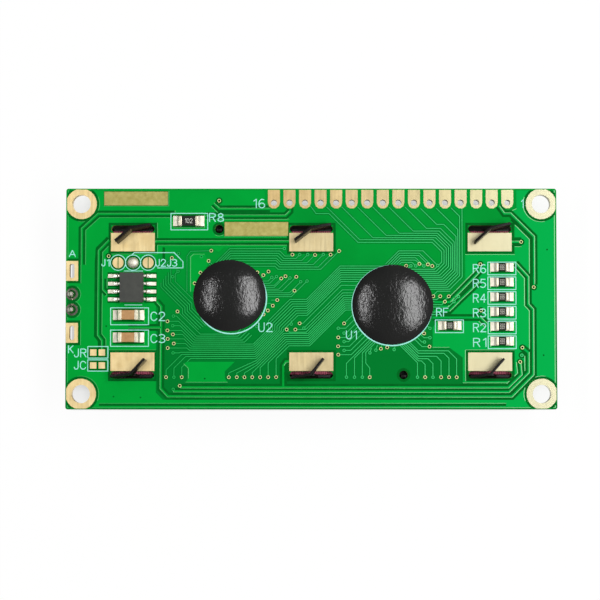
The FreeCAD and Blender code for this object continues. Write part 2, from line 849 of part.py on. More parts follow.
def all_nodes():
    """Every sub-part of the module, by node name."""
    pins = backlight_pins()
    converter_body, converter_leads, joints = converter_chip()
    nodes = {
        "circuit_board": circuit_board(),
        "corner_hole_plating": corner_hole_plating(),
        "header_hole_plating": header_hole_plating(),
        "wire_slot_plating": wire_slot_plating(),
        "tab_ground_pads": tab_ground_pads(),
        "marking_fields": marking_fields(),
        "jumper_pads": jumper_pads(),
        "link_pads": link_pads(),
        "solder_bridge": solder_bridge(),
        "converter_chip_body": converter_body,
        "converter_chip_leads": converter_leads,
        "bezel": bezel(),
        "zebra_strip_upper": zebra_strip(1),
        "zebra_strip_lower": zebra_strip(-1),
        "backlight_pins": pins,
        "backlight_pin_solder": backlight_pin_solder(pins),
    }
    nodes.update(display_cell())
    nodes.update(backlight(pins))
    for name, (body, caps, chip_joints) in chip_parts().items():
        nodes[name + "_body"] = body
        nodes[name + "_end_caps"] = caps
        joints += chip_joints
    nodes["solder_joints"] = joints
    nodes["die_u1"], nodes["epoxy_blob_u1"] = die_and_blob(
        half_length - u1_inset, u1_radius, u1_gaps, u1_die)
    nodes["die_u2"], nodes["epoxy_blob_u2"] = die_and_blob(
        u2_inset - half_length, u2_radius, u2_gaps, u2_die)
    return nodes


os.makedirs("parts", exist_ok=True)
for node_name, node_shapes in all_nodes().items():
    write_node(node_name, node_shapes)
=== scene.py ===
import logging
import math
from contextlib import contextmanager
from dataclasses import dataclass, field
from enum import Enum
from functools import cache
from typing import Iterator, Sequence

import bmesh
import bpy
from bpy.types import ID, Material, Node, NodeSocket, NodeTree, Object, World
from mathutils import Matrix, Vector, geometry, noise


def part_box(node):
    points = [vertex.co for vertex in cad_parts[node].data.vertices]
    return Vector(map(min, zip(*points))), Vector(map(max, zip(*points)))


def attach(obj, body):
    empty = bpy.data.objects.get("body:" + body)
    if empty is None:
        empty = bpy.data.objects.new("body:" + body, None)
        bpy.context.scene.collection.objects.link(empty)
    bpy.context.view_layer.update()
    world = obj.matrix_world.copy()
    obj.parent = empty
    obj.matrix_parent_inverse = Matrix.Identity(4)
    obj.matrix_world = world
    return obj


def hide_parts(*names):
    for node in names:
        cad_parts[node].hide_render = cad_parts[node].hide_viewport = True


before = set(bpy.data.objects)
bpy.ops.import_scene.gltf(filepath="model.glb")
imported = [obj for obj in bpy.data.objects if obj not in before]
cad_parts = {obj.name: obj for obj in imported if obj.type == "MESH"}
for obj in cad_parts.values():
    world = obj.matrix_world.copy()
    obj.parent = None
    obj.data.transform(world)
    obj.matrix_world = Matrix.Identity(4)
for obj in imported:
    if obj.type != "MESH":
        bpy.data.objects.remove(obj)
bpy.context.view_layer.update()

Point = tuple[float, float]
Outline = list[Point]
Triple = tuple[float, float, float]
Quadruple = tuple[float, float, float, float]
Log = logging.getLogger("character_display_module")
MM = 0.001
BODY = "root"
MERGE_DISTANCE = 1e-7  # metres
CUT_PRECISION = 1e-5  # millimetres


def box_mm(node: str) -> tuple[Vector, Vector]:
    """A CAD node's lowest and highest corners, in millimetres."""
    low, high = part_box(node)
    return low / MM, high / MM


BOARD_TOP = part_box("circuit_board")[1].z / MM


class Layer(Enum):
    """How high each film on the component side stands, in millimetres over the laminate."""

    # POOLED_MASK: the darker green of pooled mask and painted shade in the copper's gaps
    POOLED_MASK = 0.012
    # FINE_GAP: the line of painted shade and thicker mask beside each fine track
    FINE_GAP = 0.020
    FINE_COPPER = 0.030
    COPPER = 0.035
    # SHOULDER: strips of painted highlight on the copper's lit edges
    SHOULDER = 0.038
    DIMPLE = 0.042
    RING = 0.045
    PRINT = 0.060


def srgb(code: str) -> Quadruple:
    """Turn an sRGB hex colour to linear light.

    Args:
        code: Six hex digits after a #.

    Returns:
        Red, green, blue and an alpha of 1.
    """
    values = [int(code[i:i + 2], 16) / 255 for i in (1, 3, 5)]
    linear = [v / 12.92 if v <= 0.04045 else ((v + 0.055) / 1.055) ** 2.4 for v in values]
    return linear[0], linear[1], linear[2], 1.0


def deselect_all() -> None:
    """Leave edit mode and select nothing, because operators act on all that is selected."""
    if bpy.context.object and bpy.context.object.mode != "OBJECT":
        bpy.ops.object.mode_set(mode="OBJECT")
    bpy.ops.object.select_all(action="DESELECT")


def take_up(piece: Object) -> None:
    """Select one object alone and make it the active one.

    Args:
        piece: The object to work on.
    """
    deselect_all()
    piece.select_set(True)
    bpy.context.view_layer.objects.active = piece


@contextmanager
def edit_mode(piece: Object) -> Iterator[None]:
    """Edit a piece alone, with all of it selected.

    Args:
        piece: The object to edit.
    """
    take_up(piece)
    bpy.ops.object.mode_set(mode="EDIT")
    bpy.ops.mesh.select_all(action="SELECT")
    yield
    bpy.ops.object.mode_set(mode="OBJECT")


def apply_all(piece: Object) -> None:
    """Apply every modifier of a piece, in order.

    Args:
        piece: The object whose modifiers are applied.
    """
    take_up(piece)
    for name in [modifier.name for modifier in piece.modifiers]:
        bpy.ops.object.modifier_apply(modifier=name)


def settle(piece: Object) -> None:
    """Put a piece's place into its mesh, so that its object sits at the origin."""
    take_up(piece)
    bpy.ops.object.transform_apply(location=True, rotation=True, scale=True)


def smooth_by_angle(piece: Object, degrees: float = 50) -> None:
    """Shade a piece smooth where its faces meet at less than an angle."""
    take_up(piece)
    bpy.ops.object.shade_smooth_by_angle(angle=math.radians(degrees))


def break_edges(piece: Object, radius: float, least_angle: float = 40, steps: int = 2) -> None:
    """Round a piece's sharp edges.

    Args:
        piece: The object.
        radius: The round's radius in millimetres.
        least_angle: The angle in degrees past which an edge is sharp.
        steps: How many faces the round has.
    """
    rounding = piece.modifiers.new("rounding", "BEVEL")
    rounding.width = radius * MM
    rounding.segments = steps
    rounding.limit_method = "ANGLE"
    rounding.angle_limit = math.radians(least_angle)
    apply_all(piece)


def add_object(name: str, data: ID) -> Object:
    """Put new data into the scene as an object of its own.

    Args:
        name: The object's name.
        data: Its mesh, lamp or camera.

    Returns:
        The object.
    """
    made = bpy.data.objects.new(name, data)
    bpy.context.scene.collection.objects.link(made)
    return made


def aim(piece: Object, stand: Vector, target: Vector) -> None:
    """Stand a lamp or a camera at a place and turn it towards a target."""
    piece.location = stand
    piece.rotation_euler = (target - stand).to_track_quat("-Z", "Y").to_euler()


def counter_clockwise(outline: Sequence[Point]) -> Outline:
    """Order an outline's corners so that its face points up.

    Args:
        outline: The corners of a closed outline.

    Returns:
        The same corners, counter-clockwise.
    """
    corners = list(outline)
    area = sum(a[0] * b[1] - b[0] * a[1] for a, b in zip(corners, corners[1:] + corners[:1]))
    return corners if area > 0 else corners[::-1]


def disc(x: float, y: float, radius: float, sides: int = 18) -> Outline:
    """Corners on a circle."""
    turns = [2 * math.pi * i / sides for i in range(sides)]
    return [(x + radius * math.cos(turn), y + radius * math.sin(turn)) for turn in turns]


def rectangle(x0: float, x1: float, y0: float, y1: float) -> Outline:
    """Corners of an upright rectangle."""
    return [(x0, y0), (x1, y0), (x1, y1), (x0, y1)]


def closed(outline: Outline) -> Outline:
    """An outline whose last corner is its first, for a pen to follow."""
    return outline + outline[:1]


def holds(outline: Sequence[Point], point: Point) -> bool:
    """Whether an outline goes round a point.

    Args:
        outline: The outline's corners.
        point: The point.

    Returns:
        True inside it.
    """
    inside = False
    x, y = point
    for (x0, y0), (x1, y1) in zip(outline, [*outline[1:], outline[0]]):
        if (y0 > y) != (y1 > y) and x < x0 + (y - y0) * (x1 - x0) / (y1 - y0):
            inside = not inside
    return inside


def ribbon(route: Sequence[Point], width: float, least_mitre: float = 0.5) -> Outline:
    """The outline of a track: a route given a width, with mitred bends.

    Args:
        route: The points of its middle line.
        width: Its width.
        least_mitre: The cosine at which a sharp bend's mitre stops growing.

    Returns:
        The outline.
    """
    points = [Vector(p) for p in route]
    runs = [(b - a).normalized() for a, b in zip(points, points[1:])]
    left, right = [], []
    for i, point in enumerate(points):
        before = runs[max(i - 1, 0)]
        after = runs[min(i, len(runs) - 1)]
        along = (before + after).normalized()
        across = Vector((-along.y, along.x)) * (width / 2 / max(along.dot(after), least_mitre))
        left.append(tuple(point + across))
        right.append(tuple(point - across))
    return left + right[::-1]


def stroke(route: Sequence[Point], width: float, steps: int = 5) -> list[Outline]:
    """The outlines of a drawn line with round ends, one for each of its runs.

    Args:
        route: The points that the pen follows.
        width: The pen's width.
        steps: Points on each round end.

    Returns:
        One outline a run; they overlap at the bends.
    """
    outlines = []
    for a, b in zip(route, route[1:]):
        heading = math.atan2(b[1] - a[1], b[0] - a[0])
        outline = []
        for end, turn in ((b, -0.5), (a, 0.5)):
            for i in range(steps):
                angle = heading + math.pi * (turn + i / (steps - 1))
                outline.append((end[0] + width / 2 * math.cos(angle), end[1] + width / 2 * math.sin(angle)))
        outlines.append(outline)
    return outlines


@dataclass
class Film:
    """A thin layer cut from flat shapes, which may overlap.

    What lies in a solid shape is kept unless it lies in a cleared one; what lies over is kept anyway,
    and nothing is kept outside the clip or in a hole.
    """

    name: str
    layer: Layer
    solid: list[Outline] = field(default_factory=list)
    cleared: list[Outline] = field(default_factory=list)
    over: list[Outline] = field(default_factory=list)
    holes: list[Outline] = field(default_factory=list)
    clip: list[Outline] = field(default_factory=list)

    def cut(self) -> tuple[list[Vector], list[list[int]]]:
        """Cut the plane along every outline and keep the film's cells.

        Returns:
            The corners in millimetres, and the cells as lists of corner numbers.
        """
        coords: list[Vector] = []
        faces: list[list[int]] = []
        kinds: list[str] = []
        for kind in ("solid", "cleared", "over", "holes", "clip"):
            for outline in getattr(self, kind):
                corners = counter_clockwise(outline)
                faces.append(list(range(len(coords), len(coords) + len(corners))))
                coords += [Vector(c) for c in corners]
                kinds.append(kind)
        cut = geometry.delaunay_2d_cdt(coords, [], faces, 1, CUT_PRECISION)
        cells = []
        for cell, owners in zip(cut[2], cut[5]):
            found = {kinds[i] for i in owners}
            inside = not self.clip or "clip" in found
            kept = "over" in found or ("solid" in found and "cleared" not in found)
            if inside and kept and "holes" not in found:
                cells.append(list(cell))
        return list(cut[0]), cells

    def build(self) -> Object:
        """Make the kept cells a thin solid layer.

        Returns:
            The film's object.
        """
        corners, cells = self.cut()
        mesh = bpy.data.meshes.new(self.name)
        mesh.from_pydata([(c.x * MM, c.y * MM, BOARD_TOP * MM) for c in corners], [], cells)
        piece = add_object(self.name, mesh)
        with edit_mode(piece):
            bpy.ops.mesh.delete_loose()
            bpy.ops.mesh.select_all(action="SELECT")
            bpy.ops.mesh.dissolve_degenerate(threshold=MERGE_DISTANCE)
        thick = piece.modifiers.new("thickness", "SOLIDIFY")
        thick.thickness = self.layer.value * MM
        thick.offset = 1
        apply_all(piece)
        return piece

    def outward_glint_strips(self, half: Point, width: float, slant: float, thinnest: float) -> list[Outline]:
        """Narrow strips of painted highlight inside the film's edges, where those face away from the board's
        middle towards the side lamps.

        Args:
            half: Half the board's length and width, which say how squarely an edge faces outwards.
            width: Width of a strip whose edge faces along X.
            slant: How squarely an edge must face outwards, from 0 to 1.
            thinnest: The share of the width that a strip has whose edge faces along Y.

        Returns:
            One strip an edge.
        """
        corners, cells = self.cut()
        runs = {(a, b) for cell in cells for a, b in zip(cell, cell[1:] + cell[:1])}
        strips = []
        for a, b in sorted(runs):
            start, end = corners[a], corners[b]
            if (b, a) in runs or (end - start).length < 2 * width:
                continue
            along = (end - start).normalized()
            inwards = Vector((-along.y, along.x))
            middle = (start + end) / 2
            outwards = Vector((middle.x / half[0], middle.y / half[1])).normalized()
            if -inwards.dot(outwards) > slant:
                across = inwards * width * (thinnest + (1 - thinnest) * abs(inwards.x))
                strips.append([tuple(p) for p in (start, end, end + across, start + across)])
        return strips


def bare_tree(owner: Material | World) -> NodeTree:
    """Give a material or a world an empty node tree."""
    owner.use_nodes = True
    owner.node_tree.nodes.clear()
    return owner.node_tree


def add_node(tree: NodeTree, kind: str, inputs: dict | None = None, **settings: object) -> Node:
    """Add one node with its settings, and link or set its inputs.

    Args:
        tree: The material's node tree.
        kind: The node's type, without its ShaderNode prefix.
        inputs: By input name or number: a value to set, a socket to link, or a node, whose first output
            in use is linked.
        **settings: Attributes of the node.

    Returns:
        The node.
    """
    made = tree.nodes.new("ShaderNode" + kind)
    for name, value in settings.items():
        setattr(made, name, value)
    for name, value in (inputs or {}).items():
        if isinstance(value, Node):
            value = next(socket for socket in value.outputs if socket.enabled)
        if isinstance(value, NodeSocket):
            tree.links.new(value, made.inputs[name])
        else:
            made.inputs[name].default_value = value
    return made


def object_mm(tree: NodeTree, stretch: Triple = (1, 1, 1)) -> Node:
    """The object's own coordinates, in millimetres, so that a pattern's scale is one over its size.

    Args:
        tree: The material's node tree.
        stretch: How many times finer the pattern is along each axis.

    Returns:
        The node that gives them.
    """
    own = add_node(tree, "TexCoord").outputs["Object"]
    return add_node(tree, "Mapping", {"Vector": own, "Scale": tuple(s / MM for s in stretch)})


@dataclass(frozen=True)
class Finish:
    """A surface with a mottled colour, uneven gloss and a fine relief, all in real sizes.

    colour and shade are its blotches' two colours and mottle_mm their size; contrast says how sharply
    they part. grain_mm is the size of its grain, stretch how many times finer that is along each axis,
    and relief_mm how high it stands; roughness goes from the grain's hollows to its tops.
    """

    name: str
    colour: str
    shade: str
    mottle_mm: float = 3.0
    roughness: Point = (0.4, 0.5)
    metallic: float = 0.0
    ior: float = 1.5
    gloss: float = 0.5
    grain_mm: float = 0.25
    relief_mm: float = 0.006
    stretch: Triple = (1, 1, 1)
    contrast: Point = (0.35, 0.65)
    grain_contrast: Point = (0.3, 0.7)
    octaves: Point = (4.0, 3.0)  # of the blotches and of the grain
    transmission: float = 0.0

    def colour_node(self, tree: NodeTree) -> Node:
        """Mix the mottled colour.

        Args:
            tree: The material's node tree.

        Returns:
            The node that gives it.
        """
        blotches = add_node(tree, "TexNoise", {
            "Vector": object_mm(tree), "Scale": 1 / self.mottle_mm, "Detail": self.octaves[0],
            "Roughness": 0.6})
        low, high = self.contrast
        spread = add_node(tree, "MapRange", {"Value": blotches, "From Min": low, "From Max": high})
        return add_node(
            tree, "Mix", {0: spread, 6: srgb(self.colour), 7: srgb(self.shade)}, data_type="RGBA")

    def relief_node(self, tree: NodeTree, grain: Node) -> Node:
        """Raise the grain."""
        return add_node(tree, "Bump", {"Distance": self.relief_mm * MM, "Height": grain})

    @cache
    def material(self) -> Material:
        """Make the material at the first call, and give the same one after that.

        Returns:
            The material, named for what it is.
        """
        material = bpy.data.materials.new(self.name)
        tree = bare_tree(material)
        grain = add_node(tree, "TexNoise", {
            "Vector": object_mm(tree, self.stretch), "Scale": 1 / self.grain_mm, "Detail": self.octaves[1]})
        (low, high), (smooth, rough) = self.grain_contrast, self.roughness
        gloss = add_node(tree, "MapRange", {
            "Value": grain, "From Min": low, "From Max": high, "To Min": smooth, "To Max": rough})
        shader = add_node(tree, "BsdfPrincipled", {
            "Base Color": self.colour_node(tree), "Roughness": gloss, "Metallic": self.metallic,
            "Normal": self.relief_node(tree, grain), "IOR": self.ior, "Specular IOR Level": self.gloss,
            "Transmission Weight": self.transmission})
        add_node(tree, "OutputMaterial", {"Surface": shader})
        return material


@dataclass(frozen=True)
class PaintedLightGradient(Finish):
    """A finish whose colour shifts to a far colour along one axis of the board: painted light and shade
    across the board.
    """

    # far is the colour at to_mm, the other end of the painted light
    far: str = "#9FEAAE"
    axis: str = "X"
    from_mm: float = -40.0
    to_mm: float = 40.0

    def colour_node(self, tree: NodeTree) -> Node:
        """Mix the mottled colour with the far one along the axis: the painted light."""
        along = add_node(tree, "SeparateXYZ", {0: object_mm(tree)}).outputs[self.axis]
        share = add_node(tree, "MapRange", {
            "Value": along, "From Min": self.from_mm, "From Max": self.to_mm})
        return add_node(tree, "Mix", {
            0: share, 6: Finish.colour_node(self, tree), 7: srgb(self.far)}, data_type="RGBA")


@dataclass(frozen=True)
class MaskedLaminate(PaintedLightGradient):
    """Solder mask on both faces of a glass-epoxy board, whose milled edges stay bare."""

    edge: str = "#9DB36A"
    edge_shade: str = "#5E7A3C"
    layer_mm: float = 0.2
    layer_stretch: Triple = (0.3, 0.3, 1)
    face_normal: Point = (0.5, 0.6)

    def colour_node(self, tree: NodeTree) -> Node:
        """Mix green for the faces with the laminate's layers for the edges."""
        normal = add_node(tree, "NewGeometry").outputs["Normal"]
        lift = add_node(tree, "SeparateXYZ", {0: normal}).outputs["Z"]
        upright = add_node(tree, "Math", {0: lift}, operation="ABSOLUTE")
        low, high = self.face_normal
        flat = add_node(tree, "MapRange", {"Value": upright, "From Min": low, "From Max": high})
        layers = add_node(tree, "TexNoise", {
            "Vector": object_mm(tree, self.layer_stretch), "Scale": 1 / self.layer_mm, "Detail": 2.0})
        edge = add_node(tree, "Mix", {
            0: layers, 6: srgb(self.edge), 7: srgb(self.edge_shade)}, data_type="RGBA")
        face = PaintedLightGradient.colour_node(self, tree)
        return add_node(tree, "Mix", {0: flat, 6: edge, 7: face}, data_type="RGBA")


@dataclass(frozen=True)
class Striped(Finish):
    """Silicone with thin conducting layers across its length."""

    band: str = "#5A2A35"
    pitch_mm: float = 0.36
    band_range: Point = (0.55, 0.95)
    band_strength: float = 0.75

    def colour_node(self, tree: NodeTree) -> Node:
        """Mix the silicone's colour with a thin darker band at every pitch."""
        pitch_at_scale_1 = math.pi / 10
        bands = add_node(tree, "TexWave", {
            "Vector": object_mm(tree), "Scale": pitch_at_scale_1 / self.pitch_mm, "Distortion": 0.0})
        low, high = self.band_range
        narrow = add_node(tree, "MapRange", {
            "Value": bands.outputs["Fac"], "From Min": low, "From Max": high, "To Max": self.band_strength})
        return add_node(tree, "Mix", {
            0: narrow, 6: Finish.colour_node(self, tree), 7: srgb(self.band)}, data_type="RGBA")


@dataclass(frozen=True)
class OrangePeel(Finish):
    """Epoxy set from a liquid: a low, wide orange-peel skin that breaks its highlights up."""

    peel_mm: float = 0.5
    peel_height_mm: float = 0.038
    peel_stretch: Triple = (1.3, 0.8, 1.0)
    peel_distortion: float = 0.8

    def relief_node(self, tree: NodeTree, grain: Node) -> Node:
        """Raise the orange-peel skin, and the fine grain on it."""
        waves = add_node(tree, "TexNoise", {
            "Vector": object_mm(tree, self.peel_stretch), "Scale": 1 / self.peel_mm, "Detail": 1.0,
            "Distortion": self.peel_distortion})
        skin = add_node(tree, "Bump", {"Distance": self.peel_height_mm * MM, "Height": waves})
        return add_node(tree, "Bump", {
            "Distance": self.relief_mm * MM, "Height": grain, "Normal": skin})


# A cheap display module is mostly mask, gold, tin and black plastic. Each finish below names the real
# stuff; its comment says what that gives the eye, and where its colour carries painted light or shade.
# BARE_MASK deepens towards the board's lower edge: painted shade.
BARE_MASK = MaskedLaminate(  # gloss epoxy mask on bare laminate: deep green, a little uneven
    "solder_mask_on_laminate", "#009031", "#008A2E", mottle_mm=6.0, gloss=0.015, grain_mm=0.5,
    relief_mm=0.004, far="#007329", axis="Y", from_mm=7.0, to_mm=-9.0)
# COPPER_MASK lightens towards the right: painted light from the key lamp's side.
COPPER_MASK = PaintedLightGradient(  # the same mask over copper, which shines through it: a clearer, lighter green
    "solder_mask_on_copper", "#009A34", "#009532", mottle_mm=5.0, gloss=0.015, grain_mm=0.45, far="#00A546",
    from_mm=0.0)
TRACK_MASK = PaintedLightGradient(  # mask thin over narrow tracks, with painted highlights: paler than wide copper, most to the right
    "solder_mask_on_fine_track", "#00983A", "#009034", mottle_mm=2.0, gloss=0.05, grain_mm=0.3,
    far="#3CC672")
FINE_GAP_SHADE_MASK = Finish(  # beside narrow tracks: a darker green line of painted shade and slightly thicker mask
    "mask_and_painted_shade_beside_fine_track", "#006424", "#005C20", mottle_mm=2.0, gloss=0.015, grain_mm=0.4,
    relief_mm=0.003)
POOLED_MASK = Finish(  # between wide copper edges: the darkest green, of pooled mask and painted shade
    "pooled_mask_and_painted_shade", "#006620", "#005A1C", mottle_mm=2.0, gloss=0.015, grain_mm=0.4, relief_mm=0.003)
EDGE_GLINT_MASK = PaintedLightGradient(  # painted highlight along copper edges that face the side lamps, brightest at the right
    "painted_highlight_on_copper_edge", "#35AE58", "#30A652", mottle_mm=1.0, roughness=(0.3, 0.4), gloss=0.15,
    grain_mm=0.3, relief_mm=0.004, far="#90DFA0")
# FLASH_GOLD turns less yellow towards the right: painted reflection of the lamps.
FLASH_GOLD = PaintedLightGradient(  # immersion gold over nickel: pale and satin, with faint scouring across the board
    "immersion_gold", "#FFE6AC", "#F3D79A", mottle_mm=1.5, roughness=(0.32, 0.4), metallic=1.0,
    grain_mm=0.3, relief_mm=0.0018, stretch=(1, 0.06, 1), far="#B4B092", from_mm=-30.0, to_mm=36.0)
# FINGER_GOLD turns less yellow towards the right: painted reflection of the lamps.
FINGER_GOLD = PaintedLightGradient(  # the same gold on the interface row, a shade deeper
    "interface_row_gold", "#E2C58C", "#D6B87E", mottle_mm=1.5, roughness=(0.32, 0.4), metallic=1.0,
    grain_mm=0.3, relief_mm=0.0018, stretch=(1, 0.06, 1), far="#B7B48F", from_mm=-6.0, to_mm=34.0)
OLIVE_GOLD = Finish(  # gold on a scoured field: a shade darker and duller than the pads
    "scoured_gold", "#AFA767", "#9C9454", mottle_mm=0.8, roughness=(0.42, 0.55), metallic=1.0,
    grain_mm=0.15, relief_mm=0.01, stretch=(1, 0.3, 1))
VIA_GOLD = Finish(  # narrow gold ring, half clouded by mask: pale olive
    "via_ring_gold", "#DDE69E", "#CDD88E", mottle_mm=0.4, metallic=0.3, grain_mm=0.2, relief_mm=0.003)
SOLDER = Finish(  # reflowed tin alloy: bright, slightly wrinkled
    "reflowed_solder", "#E9E5D7", "#D3CFBF", mottle_mm=0.6, roughness=(0.55, 0.68), metallic=1.0,
    grain_mm=0.5, relief_mm=0.008)
HAND_SOLDER = Finish(  # hand-soldered cone: greyer and more wrinkled than reflowed solder
    "hand_solder", "#A8A698", "#7F7D70", mottle_mm=0.5, roughness=(0.16, 0.34), metallic=1.0, grain_mm=0.4,
    relief_mm=0.03)
BLACKENED_STEEL = Finish(  # black dip on sheet steel: satin, with a slight brown mottle
    "blackened_steel", "#0A0908", "#120F0D", mottle_mm=1.2, roughness=(0.34, 0.46), gloss=0.12,
    grain_mm=0.18, relief_mm=0.008)
POTTING_EPOXY = OrangePeel(  # black epoxy poured over a die: satin black under a fine orange peel
    "glob_top_epoxy", "#060706", "#0B0C0A", mottle_mm=2.5, roughness=(0.15, 0.24), grain_mm=0.16,
    relief_mm=0.0006)
SCREEN_INK = Finish(  # epoxy ink through a screen: cold white with a little of the green showing through
    "screen_ink", "#A2E6DC", "#8CD9CC", mottle_mm=0.6, roughness=(0.5, 0.6), gloss=0.2, grain_mm=0.1,
    relief_mm=0.004)
CODE_INK = Finish(  # marking ink on the glaze: dull cream
    "code_ink", "#B6B5A8", "#A3A295", mottle_mm=0.4, roughness=(0.5, 0.6), gloss=0.2, grain_mm=0.1)
SHARP_CODE_INK = Finish(  # the large resistor's digits, cleaner and whiter than the small ones'
    "sharp_code_ink", "#E2E2D8", "#D0D0C4", mottle_mm=0.4, roughness=(0.5, 0.6), gloss=0.2, grain_mm=0.1)
RESISTOR_GLAZE = Finish(  # black protective glass over the film: smooth, softly shining
    "resistor_glaze", "#151513", "#1D1D1A", mottle_mm=0.5, roughness=(0.45, 0.55), gloss=0.2, grain_mm=0.1,
    relief_mm=0.003)
CERAMIC_BROWN = Finish(  # fired barium titanate: matte caramel brown
    "capacitor_ceramic", "#B48956", "#A37743", mottle_mm=0.7, roughness=(0.45, 0.6), grain_mm=0.08,
    relief_mm=0.004)
TINNED_CAP = Finish(  # tin plate over silver: soft bright metal
    "tinned_end_cap", "#DED8C2", "#C8C2AA", mottle_mm=0.5, roughness=(0.42, 0.52), metallic=1.0,
    grain_mm=0.3)
MOULDING = Finish(  # silica-filled epoxy moulding: dull dark grey with a fine grain
    "chip_moulding", "#373935", "#3F413C", mottle_mm=1.0, roughness=(0.5, 0.62), gloss=0.3, grain_mm=0.1,
    relief_mm=0.01)
TINNED_LEAD = Finish(  # tinned copper alloy: bright soft metal
    "tinned_lead", "#DDDAD0", "#C8C4B8", mottle_mm=0.4, roughness=(0.24, 0.36), metallic=1.0, grain_mm=0.3)
SILICON = Finish(  # sawn and polished wafer: cold dark grey
    "polished_silicon", "#55565E", "#4A4B55", roughness=(0.15, 0.25), metallic=0.3)
CELL_GLASS = Finish(  # soda-lime glass with the cell's blue-grey behind it
    "cell_glass", "#BFD6E6", "#B4CCE0", roughness=(0.03, 0.06), ior=1.52, relief_mm=0.0005,
    transmission=0.85)
POLARISER = Finish(  # stretched dyed film: deep blue, smooth
    "polariser_film", "#1B3F9E", "#173A94", mottle_mm=20.0, roughness=(0.12, 0.2), relief_mm=0.001)
ZEBRA = Striped(  # soft silicone: matte pink
    "zebra_silicone", "#D0647E", "#C25A74", mottle_mm=1.0, roughness=(0.55, 0.7), gloss=0.3, grain_mm=0.2,
    relief_mm=0.01)
TRAY = Finish(  # white filled polycarbonate, moulded
    "white_moulding", "#EDEDE8", "#E4E4DE", mottle_mm=5.0, grain_mm=0.4, relief_mm=0.004)
GUIDE = Finish(  # clear acrylic
    "light_guide_acrylic", "#F2F7F7", "#EAF2F2", roughness=(0.05, 0.1), ior=1.49, transmission=0.9,
    relief_mm=0.001)
WHITE_FILM = Finish(  # voided polyester film: bright, even white
    "white_film", "#F3F3F0", "#ECECE8", roughness=(0.5, 0.6), grain_mm=0.15)
LAMP_BOARD = Finish(  # bare white laminate under the lamps: pale grey-green
    "lamp_board", "#D8DCD6", "#CCD2CA")
LAMP = Finish(  # moulded phosphor lens: pale yellow
    "lamp_lens", "#F2E38A", "#EAD978", roughness=(0.2, 0.3), mottle_mm=1.0)
DRILLED = Finish(  # a drilled hole in shade
    "drilled_hole", "#0B0704", "#060402", mottle_mm=0.2, roughness=(0.7, 0.8), gloss=0.1, grain_mm=0.1)


def paint(piece: Object, finish: Finish) -> None:
    """Give a piece the material of one finish and no other."""
    piece.data.materials.clear()
    piece.data.materials.append(finish.material())


def fit_out(piece: Object, finish: Finish) -> None:
    """Dress a finished piece and let it ride on the module.

    Args:
        piece: The object.
        finish: Its finish.
    """
    paint(piece, finish)
    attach(piece, BODY)
    Log.info("%s: %d faces", piece.name, len(piece.data.polygons))


@dataclass
class CarriedOver:
    """The solids of the CAD model that show as they are, with their finishes.

    A node takes the first finish whose words its name has.
    """

    finishes: tuple[tuple[str, Finish], ...] = (
        ("circuit_board", BARE_MASK), ("header_hole_plating", FINGER_GOLD), ("marking_fields", OLIVE_GOLD),
        ("_plating", FLASH_GOLD), ("_pads", FLASH_GOLD), ("backlight_pin_solder", HAND_SOLDER),
        ("solder_", SOLDER), ("chip_body", MOULDING), ("chip_leads", TINNED_LEAD),
        ("bezel", BLACKENED_STEEL), ("zebra_", ZEBRA), ("_polariser", POLARISER), ("_glass", CELL_GLASS),
        ("backlight_frame", TRAY), ("_film", WHITE_FILM), ("light_guide", GUIDE), ("led_board", LAMP_BOARD),
        ("leds", LAMP), ("backlight_pins", TINNED_LEAD), ("epoxy_blob_", POTTING_EPOXY), ("die_", SILICON),
        ("_end_caps", TINNED_CAP), ("capacitor_", CERAMIC_BROWN), ("resistor_", RESISTOR_GLAZE),
    )

    def dress(self) -> None:
        """Give every CAD node its material."""
        for name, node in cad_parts.items():
            paint(node, next(finish for words, finish in self.finishes if words in name))
        Log.info("dressed %d CAD nodes", len(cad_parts))


@dataclass(frozen=True)
class PhotoFrame:
    """Where the photograph's picture elements lie on the board: the artwork's places are noted in them."""

    middle: Point = (311.25, 299.2)
    per_mm: Point = (6.12, 6.15)

    def mm(self, point: Point) -> Point:
        """The place on the board, in millimetres from its middle, of a place in the photograph."""
        return (point[0] - self.middle[0]) / self.per_mm[0], (self.middle[1] - point[1]) / self.per_mm[1]


